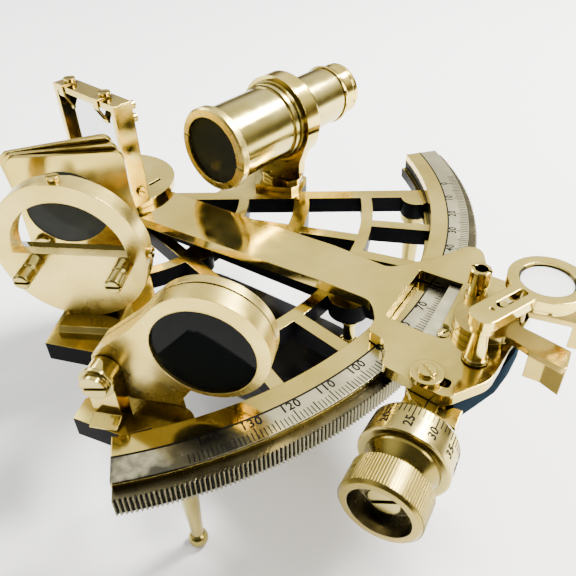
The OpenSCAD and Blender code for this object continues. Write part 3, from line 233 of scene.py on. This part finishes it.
sheen = tree.nodes.new("ShaderNodeMix")
sheen.data_type = "FLOAT"
sheen.inputs["A"].default_value = 0.28
tree.links.new(metal.inputs["Roughness"].links[0].from_socket, sheen.inputs["B"])
tree.links.new(on_top.outputs[0], sheen.inputs["Factor"])
tree.links.new(sheen.outputs["Result"], metal.inputs["Roughness"])
finish_node("frame_casting", cast_brass)
brass = polished_metal("polished_brass")
finish_node("centre_bearing", brass)

# Limb: a brass arc with a silver strip let in, and a toothed rack under its outer edge. A black
# line is cut where the silver begins, and the degrees are engraved and filled with black wax,
# with figures at every tenth.
pivot_top = Vector((-0.07725, -0.0048745, 0.062))
finish_node("limb_plate", brass)


def blend_by(material, factor, colour):
    """Pull a material's colour toward another one where the factor socket is high."""
    tree = material.node_tree
    shader = tree.nodes["Principled BSDF"]
    over = tree.nodes.new("ShaderNodeMix")
    over.data_type = "RGBA"
    tree.links.new(shader.inputs["Base Color"].links[0].from_socket, over.inputs["A"])
    over.inputs["B"].default_value = (*colour, 1)
    tree.links.new(factor, over.inputs["Factor"])
    tree.links.new(over.outputs["Result"], shader.inputs["Base Color"])


def off_axis_distance(tree, centre, axis=(0, 0, 1)):
    """Distance from a line through the centre, in metres, as a socket."""
    where = tree.nodes.new("ShaderNodeTexCoord")
    shifted = tree.nodes.new("ShaderNodeVectorMath")
    shifted.operation = "SUBTRACT"
    shifted.inputs[1].default_value = centre
    tree.links.new(where.outputs["Object"], shifted.inputs[0])
    crossed = tree.nodes.new("ShaderNodeVectorMath")
    crossed.operation = "CROSS_PRODUCT"
    crossed.inputs[1].default_value = axis
    tree.links.new(shifted.outputs["Vector"], crossed.inputs[0])
    far = tree.nodes.new("ShaderNodeVectorMath")
    far.operation = "LENGTH"
    tree.links.new(crossed.outputs["Vector"], far.inputs[0])
    return far.outputs["Value"]


def ramp(tree, value, low, high):
    """Socket that goes from 0 at low to 1 at high."""
    scaled = tree.nodes.new("ShaderNodeMapRange")
    scaled.inputs["From Min"].default_value = low
    scaled.inputs["From Max"].default_value = high
    tree.links.new(value, scaled.inputs["Value"])
    return scaled.outputs["Result"]


silver_pale = (0.74, 0.69, 0.43)
silver_deep = (0.50, 0.46, 0.28)
silver_painted_reflection = polished_metal("silver_with_painted_reflection", silver_pale, silver_deep, (0.14, 0.28), edge=0.0001, wave=0.03)
tree = silver_painted_reflection.node_tree
place = tree.nodes.new("ShaderNodeTexCoord")
along = tree.nodes.new("ShaderNodeSeparateXYZ")
tree.links.new(place.outputs["Object"], along.inputs["Vector"])
cloudy = tree.nodes.new("ShaderNodeTexNoise")
cloudy.inputs["Scale"].default_value = 85.0
cloudy.inputs["Detail"].default_value = 5.0
tree.links.new(place.outputs["Object"], cloudy.inputs["Vector"])
# Painted reflection: towards the low end of the limb the silver darkens in cloudy patches, standing for the
# dark horizon shade mirrored in it.
painted_reflection_patch = tree.nodes.new("ShaderNodeMath")
painted_reflection_patch.operation = "MULTIPLY"
dark_reflection_from = -0.070
dark_reflection_full = -0.086
tree.links.new(ramp(tree, along.outputs["Y"], dark_reflection_from, dark_reflection_full), painted_reflection_patch.inputs[0])
tree.links.new(ramp(tree, cloudy.outputs["Fac"], 0.34, 0.50), painted_reflection_patch.inputs[1])
blend_by(silver_painted_reflection, painted_reflection_patch.outputs[0], (0.075, 0.07, 0.05))
finish_node("scale_arc", silver_painted_reflection)
tooth_tip = 0.1351
tooth_root = 0.1347
toothed = polished_metal(
    "toothed_rack", (0.15, 0.13, 0.07), (0.09, 0.078, 0.04), (0.20, 0.34), edge=0.00012, wave=0.03)
tree = toothed.node_tree
upward = tree.nodes.new("ShaderNodeNewGeometry")
slope = tree.nodes.new("ShaderNodeSeparateXYZ")
tree.links.new(upward.outputs["True Normal"], slope.inputs["Vector"])
# Painted reflection: the steep tooth flanks are lightened, standing for the bright paper they mirror.
flank = ramp(tree, slope.outputs["Z"], 0.5, 0.2)
blend_by(toothed, flank, (0.24, 0.22, 0.135))
# Painted shade: the flanks go near black down in the gaps between the teeth.
tooth_gap_shade = tree.nodes.new("ShaderNodeMath")
tooth_gap_shade.operation = "MULTIPLY"
tree.links.new(ramp(tree, off_axis_distance(tree, pivot_top), tooth_tip, tooth_root), tooth_gap_shade.inputs[0])
tree.links.new(flank, tooth_gap_shade.inputs[1])
blend_by(toothed, tooth_gap_shade.outputs[0], (0.006, 0.0055, 0.004))
finish_node("rack_arc", toothed)
black_wax = bpy.data.materials.new("black_wax")
black_wax.use_nodes = True
tree = black_wax.node_tree
wax = tree.nodes["Principled BSDF"]
place = tree.nodes.new("ShaderNodeTexCoord")
wear = tree.nodes.new("ShaderNodeTexNoise")
wear.inputs["Scale"].default_value = 900.0
tree.links.new(place.outputs["Object"], wear.inputs["Vector"])
faded = tree.nodes.new("ShaderNodeMix")
faded.data_type = "RGBA"
faded.inputs["A"].default_value = (0.001, 0.001, 0.001, 1)
faded.inputs["B"].default_value = (0.006, 0.0055, 0.004, 1)
tree.links.new(wear.outputs["Fac"], faded.inputs["Factor"])
tree.links.new(faded.outputs["Result"], wax.inputs["Base Color"])
wax.inputs["Roughness"].default_value = 0.8
wax.inputs["Specular IOR Level"].default_value = 0.08


def ring_divisions():
    """Geometry Nodes tree: flat bars set radially at even steps of an angle."""
    tree = bpy.data.node_groups.new("ring_divisions", "GeometryNodeTree")
    face = tree.interface
    face.new_socket("Geometry", in_out="INPUT", socket_type="NodeSocketGeometry")
    face.new_socket("Geometry", in_out="OUTPUT", socket_type="NodeSocketGeometry")
    face.new_socket("Count", in_out="INPUT", socket_type="NodeSocketInt")
    for label in ("First Angle", "Step Angle", "Inner Radius", "Length", "Width", "Thickness", "Height"):
        face.new_socket(label, in_out="INPUT", socket_type="NodeSocketFloat")
    face.new_socket("Material", in_out="INPUT", socket_type="NodeSocketMaterial")
    given = tree.nodes.new("NodeGroupInput")
    result = tree.nodes.new("NodeGroupOutput")
    line = tree.nodes.new("GeometryNodeMeshLine")
    tree.links.new(given.outputs["Count"], line.inputs["Count"])
    line.inputs["Offset"].default_value = (0, 0, 0)
    number = tree.nodes.new("GeometryNodeInputIndex")
    angle = tree.nodes.new("ShaderNodeMath")
    angle.operation = "MULTIPLY_ADD"
    tree.links.new(number.outputs["Index"], angle.inputs[0])
    tree.links.new(given.outputs["Step Angle"], angle.inputs[1])
    tree.links.new(given.outputs["First Angle"], angle.inputs[2])
    middle = tree.nodes.new("ShaderNodeMath")
    middle.operation = "MULTIPLY_ADD"
    tree.links.new(given.outputs["Length"], middle.inputs[0])
    middle.inputs[1].default_value = 0.5
    tree.links.new(given.outputs["Inner Radius"], middle.inputs[2])
    cosine = tree.nodes.new("ShaderNodeMath")
    cosine.operation = "COSINE"
    sine = tree.nodes.new("ShaderNodeMath")
    sine.operation = "SINE"
    across = tree.nodes.new("ShaderNodeMath")
    across.operation = "MULTIPLY"
    along = tree.nodes.new("ShaderNodeMath")
    along.operation = "MULTIPLY"
    for trig, product in ((cosine, across), (sine, along)):
        tree.links.new(angle.outputs[0], trig.inputs[0])
        tree.links.new(trig.outputs[0], product.inputs[0])
        tree.links.new(middle.outputs[0], product.inputs[1])
    spot = tree.nodes.new("ShaderNodeCombineXYZ")
    tree.links.new(across.outputs[0], spot.inputs["X"])
    tree.links.new(along.outputs[0], spot.inputs["Y"])
    tree.links.new(given.outputs["Height"], spot.inputs["Z"])
    put = tree.nodes.new("GeometryNodeSetPosition")
    tree.links.new(line.outputs["Mesh"], put.inputs["Geometry"])
    tree.links.new(spot.outputs["Vector"], put.inputs["Position"])
    turn = tree.nodes.new("ShaderNodeCombineXYZ")
    tree.links.new(angle.outputs[0], turn.inputs["Z"])
    size = tree.nodes.new("ShaderNodeCombineXYZ")
    tree.links.new(given.outputs["Length"], size.inputs["X"])
    tree.links.new(given.outputs["Width"], size.inputs["Y"])
    tree.links.new(given.outputs["Thickness"], size.inputs["Z"])
    bar = tree.nodes.new("GeometryNodeMeshCube")
    tree.links.new(size.outputs["Vector"], bar.inputs["Size"])
    each = tree.nodes.new("GeometryNodeInstanceOnPoints")
    tree.links.new(put.outputs["Geometry"], each.inputs["Points"])
    tree.links.new(bar.outputs["Mesh"], each.inputs["Instance"])
    tree.links.new(turn.outputs["Vector"], each.inputs["Rotation"])
    real = tree.nodes.new("GeometryNodeRealizeInstances")
    tree.links.new(each.outputs["Instances"], real.inputs["Geometry"])
    coat = tree.nodes.new("GeometryNodeSetMaterial")
    tree.links.new(real.outputs["Geometry"], coat.inputs["Geometry"])
    tree.links.new(given.outputs["Material"], coat.inputs["Material"])
    tree.links.new(coat.outputs["Geometry"], result.inputs["Geometry"])
    return tree


def divided(name, tree, values):
    """The plain mesh of one set of divisions, with the tree's inputs given by name."""
    blank = bpy.data.objects.new(name + "_blank", bpy.data.meshes.new(name + "_blank"))
    bpy.context.scene.collection.objects.link(blank)
    modifier = blank.modifiers.new("divisions", "NODES")
    modifier.node_group = tree
    for item in tree.interface.items_tree:
        if item.in_out == "INPUT" and item.name in values:
            modifier[item.identifier] = values[item.name]
    bpy.context.view_layer.update()
    shape = bpy.data.meshes.new_from_object(blank.evaluated_get(bpy.context.evaluated_depsgraph_get()))
    shape.name = name
    bpy.data.objects.remove(blank)
    return shape


def figure(text, size, place, depth=0.00005):
    """The closed mesh of one engraved number, set by a 4x4 matrix."""
    letters = bpy.data.curves.new("figure", "FONT")
    letters.body = text
    letters.size = size
    letters.align_x = "CENTER"
    letters.align_y = "CENTER"
    letters.extrude = depth / 2
    letters.offset = size * 0.022
    letters.resolution_u = 3
    letters.space_character = 1.1
    holder = bpy.data.objects.new("figure", letters)
    bpy.context.scene.collection.objects.link(holder)
    bpy.context.view_layer.update()
    shape = bpy.data.meshes.new_from_object(holder)
    shape.transform(place)
    bpy.data.objects.remove(holder)
    welded = bmesh.new()
    welded.from_mesh(shape)
    bmesh.ops.remove_doubles(welded, verts=welded.verts, dist=0.000001)
    bmesh.ops.recalc_face_normals(welded, faces=welded.faces)
    welded.to_mesh(shape)
    welded.free()
    return shape


def joined(name, shapes, material, body):
    """Several closed meshes as one piece that rides on a body."""
    whole = bmesh.new()
    for shape in shapes:
        whole.from_mesh(shape)
        bpy.data.meshes.remove(shape)
    bmesh.ops.recalc_face_normals(whole, faces=whole.faces)
    result = bpy.data.meshes.new(name)
    whole.to_mesh(result)
    whole.free()
    result.materials.clear()
    result.materials.append(material)
    for face in result.polygons:
        face.material_index = 0
    piece = bpy.data.objects.new(name, result)
    bpy.context.scene.collection.objects.link(piece)
    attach(piece, body)


divisions = ring_divisions()
zero_mark = 37.01
limb_degree = 0.5
marks_outer = 0.1319
shapes = []
for name, first, every, count, inner, wide, thick in (
    ("degree_marks", -5, 1, 151, 0.1292, 0.00026, 0.00006),
    ("fifth_marks", 5, 10, 14, 0.1286, 0.00032, 0.00008),
    ("tenth_marks", 0, 10, 15, 0.1281, 0.00032, 0.00008),
):
    marks = divided(name, divisions, {
        "Count": count, "First Angle": math.radians(zero_mark - limb_degree * first),
        "Step Angle": math.radians(-limb_degree * every), "Inner Radius": inner,
        "Length": marks_outer - inner, "Width": wide, "Thickness": thick, "Height": 0.0,
        "Material": black_wax})
    marks.transform(Matrix.Translation(pivot_top))
    shapes.append(marks)
figure_ring = 0.12665
limb_figure = 0.0036
for value in range(0, 141, 10):
    angle = math.radians(zero_mark - limb_degree * value)
    out = Vector((math.cos(angle), math.sin(angle), 0))
    side = Vector((-math.sin(angle), math.cos(angle), 0))
    spot = pivot_top + out * figure_ring
    place = Matrix((
        (side.x, -out.x, 0, spot.x), (side.y, -out.y, 0, spot.y),
        (0, 0, 1, spot.z), (0, 0, 0, 1)))
    shapes.append(figure(str(value), limb_figure, place))
line_mesh = bpy.data.meshes.new("dividing_line")
line_edges = (0.12474, 0.12526)
line_faces = (-0.0001, 0.00005)
line_from = -43.5
line_sweep = 93
steps = 240
corners = []
for step in range(steps + 1):
    angle = math.radians(line_from + line_sweep * step / steps)
    for radius in line_edges:
        for height in line_faces:
            corners.append(pivot_top + Vector((radius * math.cos(angle), radius * math.sin(angle), height)))
faces = [(0, 2, 3, 1)]
for step in range(steps):
    a = 4 * step
    b = a + 4
    faces += [(a + 1, a + 3, b + 3, b + 1), (a, b, b + 2, a + 2)]
    faces += [(a, a + 1, b + 1, b), (a + 2, b + 2, b + 3, a + 3)]
end = 4 * steps
faces.append((end, end + 1, end + 3, end + 2))
line_mesh.from_pydata(corners, [], faces)
shapes.append(line_mesh)
joined("limb_engraving", shapes, black_wax, "frame")

# Legs and handle: turned brass legs with ball feet, and a grip moulded in hard black plastic,
# held by two brass pillars.
grip = bpy.data.materials.new("black_grip")
grip.use_nodes = True
tree = grip.node_tree
gloss = tree.nodes["Principled BSDF"]
gloss.inputs["Specular IOR Level"].default_value = 0.12
place = tree.nodes.new("ShaderNodeTexCoord")
flow = tree.nodes.new("ShaderNodeTexNoise")
flow.inputs["Scale"].default_value = 60.0
tree.links.new(place.outputs["Object"], flow.inputs["Vector"])
depth = tree.nodes.new("ShaderNodeMix")
depth.data_type = "RGBA"
depth.inputs["A"].default_value = (0.006, 0.006, 0.007, 1)
depth.inputs["B"].default_value = (0.014, 0.014, 0.016, 1)
tree.links.new(flow.outputs["Fac"], depth.inputs["Factor"])
tree.links.new(depth.outputs["Result"], gloss.inputs["Base Color"])
shine = tree.nodes.new("ShaderNodeMapRange")
shine.inputs["To Min"].default_value = 0.22
shine.inputs["To Max"].default_value = 0.34
tree.links.new(flow.outputs["Fac"], shine.inputs["Value"])
tree.links.new(shine.outputs["Result"], gloss.inputs["Roughness"])
finish_node("handle", grip)
finish_node("handle_posts", brass)
turned_brass = polished_metal("turned_brass", (0.54, 0.44, 0.14), (0.40, 0.32, 0.08), (0.14, 0.26), wave=0.03)
finish_node("legs", turned_brass)

# Telescope: thin drawn tubes that slide in one another, held by a clamp ring on a bracket. The
# slotted ring screws into the front and holds the dark-looking objective.
for node in ("telescope_bracket", "telescope_holder", "eyepiece_cap"):
    finish_node(node, brass)
ring_brass = polished_metal("ring_brass", (0.84, 0.68, 0.23), (0.66, 0.52, 0.14), (0.22, 0.32), wave=0.02)
finish_node("objective_ring", ring_brass)
drawn_brass = polished_metal("drawn_brass", (0.60, 0.50, 0.17), (0.46, 0.37, 0.10), (0.12, 0.22), wave=0.02)
for node in ("telescope_tube", "eyepiece_tube"):
    finish_node(node, drawn_brass)


def optical_glass(name, colour, rough, through, specular=0.5):
    """Polished glass with a faint veil of dust. Through is the share of light that passes."""
    material = bpy.data.materials.new(name)
    material.use_nodes = True
    tree = material.node_tree
    body = tree.nodes["Principled BSDF"]
    body.inputs["Transmission Weight"].default_value = through
    body.inputs["IOR"].default_value = 1.5
    body.inputs["Specular IOR Level"].default_value = specular
    place = tree.nodes.new("ShaderNodeTexCoord")
    dust = tree.nodes.new("ShaderNodeTexNoise")
    dust.inputs["Scale"].default_value = 240.0
    tree.links.new(place.outputs["Object"], dust.inputs["Vector"])
    veil = tree.nodes.new("ShaderNodeMapRange")
    veil.inputs["To Min"].default_value = rough[0]
    veil.inputs["To Max"].default_value = rough[1]
    tree.links.new(dust.outputs["Fac"], veil.inputs["Value"])
    tree.links.new(veil.outputs["Result"], body.inputs["Roughness"])
    shade = tree.nodes.new("ShaderNodeMix")
    shade.data_type = "RGBA"
    shade.inputs["A"].default_value = (*colour, 1)
    shade.inputs["B"].default_value = (*[c * 0.9 for c in colour], 1)
    tree.links.new(dust.outputs["Fac"], shade.inputs["Factor"])
    tree.links.new(shade.outputs["Result"], body.inputs["Base Color"])
    return material


lens_glass = optical_glass("lens_glass", (0.022, 0.027, 0.029), (0.04, 0.12), 0.0, 0.06)
finish_node("objective_lens", lens_glass)
finish_node("eye_lens", lens_glass)

# Horizon mirror: a thick turned brass disc with a half-round window, silvered glass let into its
# back, and two slotted adjusting posts.
satin_brass = polished_metal("satin_brass", (0.80, 0.63, 0.20), (0.66, 0.50, 0.12), (0.22, 0.34), wave=0.03)
for node in ("horizon_foot", "horizon_screws"):
    finish_node(node, brass)
finish_node("horizon_adjusters", turned_brass)
finish_node("horizon_holder", satin_brass)
silvered = optical_glass("silvered_glass", (0.80, 0.83, 0.82), (0.01, 0.03), 0.0)
silvered.node_tree.nodes["Principled BSDF"].inputs["Metallic"].default_value = 1.0
finish_node("horizon_glass", silvered)

# Shades: three thin brass plates on one pin before the index mirror, and two heavy brass rings
# on another pin before the horizon mirror, each with a disc of dark glass.
for node in ("index_shade_post", "horizon_shade_post"):
    finish_node(node, brass)
for node in ("index_shade_pin", "horizon_shade_pin"):
    finish_node(node, turned_brass)
plate_brass = polished_metal("plate_brass", rough=(0.12, 0.22), wave=0.10)
for node in ("index_shade_1", "index_shade_2", "index_shade_3"):
    finish_node(node, plate_brass)
for node in ("horizon_shade_front", "horizon_shade_rear"):
    finish_node(node, satin_brass)
dark_glass = optical_glass("dark_glass", (0.004, 0.005, 0.005), (0.02, 0.05), 0.0, 0.05)
for node in ("ring_glass_front", "ring_glass_rear"):
    finish_node(node, dark_glass)
smoke_glass = optical_glass("smoke_glass", (0.030, 0.034, 0.037), (0.02, 0.05), 0.0, 0.05)
for node in ("index_glass_1", "index_glass_2", "index_glass_3"):
    finish_node(node, smoke_glass)

# Index arm and its mirror: a polished bar that turns on the pivot, with the reading window over
# the scale. The mirror stands over the pivot in a brass tray, held by two clips.
for node in ("pivot_shaft", "pivot_nut", "mirror_base", "mirror_clips", "mirror_screws", "arm_screws"):
    finish_node(node, brass)
tray_brass = polished_metal("tray_brass")
# Painted shade: the tray goes near black where its walls close in round the mirror glass.
tree = tray_brass.node_tree
tucked = tree.nodes.new("ShaderNodeAmbientOcclusion")
tucked.samples = 4
tucked.inputs["Distance"].default_value = 0.006
tray_painted_shade = (0.03, 0.028, 0.022)
blend_by(tray_brass, ramp(tree, tucked.outputs["AO"], 0.85, 0.60), tray_painted_shade)
finish_node("index_mirror_frame", tray_brass)
finish_node("index_mirror_glass", silvered)
silver = polished_metal("silver_scale", silver_pale, silver_deep, (0.18, 0.30), edge=0.0001, wave=0.03)
finish_node("index_plate", silver)
arm_brass = polished_metal("arm_brass", rough=(0.07, 0.20), wave=0.05, cloud=32.0)
tree = arm_brass.node_tree
# Painted shade: the walls of the reading window, down into the recess, are darkened.
window_middle = pivot_top + Vector((0.1288, 0.0030, 0.0022))
window_half = (0.0066, 0.0131, 0.0015)
place = tree.nodes.new("ShaderNodeTexCoord")
inside = tree.nodes.new("ShaderNodeVectorMath")
inside.operation = "SUBTRACT"
inside.inputs[1].default_value = window_middle
tree.links.new(place.outputs["Object"], inside.inputs[0])
near = tree.nodes.new("ShaderNodeVectorMath")
near.operation = "ABSOLUTE"
tree.links.new(inside.outputs["Vector"], near.inputs[0])
limits = tree.nodes.new("ShaderNodeSeparateXYZ")
tree.links.new(near.outputs["Vector"], limits.inputs["Vector"])
product = tree.nodes.new("ShaderNodeMath")
product.operation = "MULTIPLY"
tree.links.new(ramp(tree, limits.outputs["X"], window_half[0] + 0.0001, window_half[0]), product.inputs[0])
tree.links.new(ramp(tree, limits.outputs["Y"], window_half[1] + 0.0001, window_half[1]), product.inputs[1])
window_wall_shade = tree.nodes.new("ShaderNodeMath")
window_wall_shade.operation = "MULTIPLY"
tree.links.new(product.outputs[0], window_wall_shade.inputs[0])
tree.links.new(ramp(tree, limits.outputs["Z"], window_half[2] + 0.00015, window_half[2]), window_wall_shade.inputs[1])
blend_by(arm_brass, window_wall_shade.outputs[0], (0.045, 0.04, 0.028))
finish_node("index_arm", arm_brass)

# Worm guard, levers and carriage: a black-painted guard under the end plate, its blue-grey sheen painted
# into its colour, two brass levers that are squeezed together, and the swinging block that carries the worm's
# spindle.
# Black paint whose blue-grey sheen is painted into the colour, with its own reflection set to nothing.
guard_painted_sheen = polished_metal("slate_guard", (0.018, 0.030, 0.044), (0.010, 0.018, 0.028), (0.25, 0.4))
coat = guard_painted_sheen.node_tree.nodes["Principled BSDF"]
coat.inputs["Metallic"].default_value = 0.0
coat.inputs["Specular IOR Level"].default_value = 0.0
finish_node("worm_guard", guard_painted_sheen)
for node in ("lever_seat", "worm_carriage", "carriage_screw"):
    finish_node(node, brass)
lever_brass = polished_metal("lever_brass", (0.56, 0.42, 0.11), (0.36, 0.26, 0.06), (0.10, 0.22), wave=0.06)
for node in ("fixed_lever", "release_lever"):
    finish_node(node, lever_brass)

# Micrometer: a drum with sixty divisions and a figure at each fifth, a straight-knurled knob with
# a dark turned recess, and a slotted screw, all on the worm's spindle.
for node in ("worm_shaft", "micrometer_drum", "knob_screw"):
    finish_node(node, turned_brass)
tilt = math.radians(6.6)
spindle_reach = 0.1401
spindle_drop = 0.00565
spindle = Matrix((
    (0, math.cos(tilt), -math.sin(tilt), pivot_top.x + spindle_reach * math.cos(tilt)),
    (0, math.sin(tilt), math.cos(tilt), pivot_top.y + spindle_reach * math.sin(tilt)),
    (1, 0, 0, pivot_top.z - spindle_drop), (0, 0, 0, 1)))
knob_brass = polished_metal("knob_brass", (0.31, 0.24, 0.055), (0.23, 0.175, 0.035), (0.18, 0.30), wave=0.03)
tree = knob_brass.node_tree
axis_point = spindle.translation
axis_line = (math.sin(tilt), -math.cos(tilt), 0)
off_axis = off_axis_distance(tree, axis_point, axis_line)
knurl_floor = 0.01021
# Painted shade: the knob's bare surface between the knurl ridges is darkened.
blend_by(knob_brass, ramp(tree, off_axis, knurl_floor, knurl_floor + 0.00005), (0.16, 0.12, 0.035))
recess_radius = 0.00796
recess_start = 0.0698
place = tree.nodes.new("ShaderNodeTexCoord")
depth = tree.nodes.new("ShaderNodeVectorMath")
depth.operation = "SUBTRACT"
depth.inputs[1].default_value = axis_point
tree.links.new(place.outputs["Object"], depth.inputs[0])
outward = tree.nodes.new("ShaderNodeVectorMath")
outward.operation = "DOT_PRODUCT"
outward.inputs[1].default_value = axis_line
tree.links.new(depth.outputs["Vector"], outward.inputs[0])
recess = tree.nodes.new("ShaderNodeMath")
recess.operation = "MULTIPLY"
tree.links.new(ramp(tree, off_axis, recess_radius + 0.00006, recess_radius), recess.inputs[0])
tree.links.new(ramp(tree, outward.outputs["Value"], recess_start, recess_start + 0.0004), recess.inputs[1])
blend_by(knob_brass, recess.outputs[0], (0.30, 0.27, 0.17))
finish_node("micrometer_knob", knob_brass)

drum_near = 0.0527
drum_radius = 0.0115
drum_flare = 0.0004 / (0.0100 - 0.0018)
minute_step = 6
minute_at_top = 25.6
shapes = []
for name, count, length, wide, thick in (
    ("minute_marks", 60, 0.0024, 0.00026, 0.00010),
    ("fifth_minute_marks", 12, 0.0034, 0.00029, 0.00012),
):
    marks = divided(name, divisions, {
        "Count": count, "First Angle": math.radians(-minute_step * minute_at_top),
        "Step Angle": math.radians(360 / count), "Inner Radius": drum_radius - 0.00005, "Length": thick,
        "Width": wide, "Thickness": length, "Height": -drum_near - length / 2, "Material": black_wax})
    for point in marks.vertices:
        widening = 1 + drum_flare * (-drum_near - point.co.z) / drum_radius
        point.co.x *= widening
        point.co.y *= widening
    shapes.append(marks)
drum_figure = 0.0032
figure_row = 0.0577
for value in range(0, 60, 5):
    number = figure(str(value), drum_figure, Matrix.Identity(4), depth=0.00012)
    for point in number.vertices:
        radius = drum_radius + drum_flare * (figure_row - drum_near - point.co.x) + point.co.z
        angle = math.radians(minute_step * (value - minute_at_top)) - point.co.y / radius
        point.co = (radius * math.cos(angle), radius * math.sin(angle), point.co.x - figure_row)
    shapes.append(number)
for shape in shapes:
    shape.transform(spindle)
joined("drum_engraving", shapes, black_wax, "micrometer")
pointer = divided("pointer", divisions, {
    "Count": 1, "First Angle": 0.0, "Step Angle": 0.0, "Inner Radius": 0.0058, "Length": 0.00008,
    "Width": 0.00035, "Thickness": 0.0056, "Height": -0.0466, "Material": black_wax})
pointer.transform(spindle)
joined("drum_index_line", [pointer], black_wax, "carriage")

knurled_brass = polished_metal(
    "knurled_brass", (0.25, 0.19, 0.042), (0.18, 0.13, 0.027), (0.24, 0.36), wave=0.03)
ridges = 90
knurl = divided("knurl", divisions, {
    "Count": ridges, "First Angle": 0.0, "Step Angle": math.radians(360 / ridges), "Inner Radius": 0.0101,
    "Length": 0.0004, "Width": 0.00042, "Thickness": 0.0077, "Height": -0.07175, "Material": knurled_brass})
knurl.transform(spindle)
joined("knob_knurl", [knurl], knurled_brass, "micrometer")

# Magnifier: a lens in a brass ring, on a slotted bar that swings and slides on its pillar. The
# tapped socket post stands beside it.
for node in ("socket_post", "lens_pillar", "lens_link", "magnifier"):
    finish_node(node, brass)
lens_middle = (0.08034, 0.00518, 0.0797)
clear_glass = optical_glass("clear_glass", (0.97, 0.98, 0.98), (0.10, 0.18), 0.35)
tree = clear_glass.node_tree
# Painted shade: a dark ring round the lens rim, where the brass ring's inner wall shades it.
lens_rim_shade = ramp(tree, off_axis_distance(tree, lens_middle), 0.00665, 0.00690)
blend_by(clear_glass, lens_rim_shade, (0.03, 0.027, 0.02))
finish_node("magnifier_lens", clear_glass)
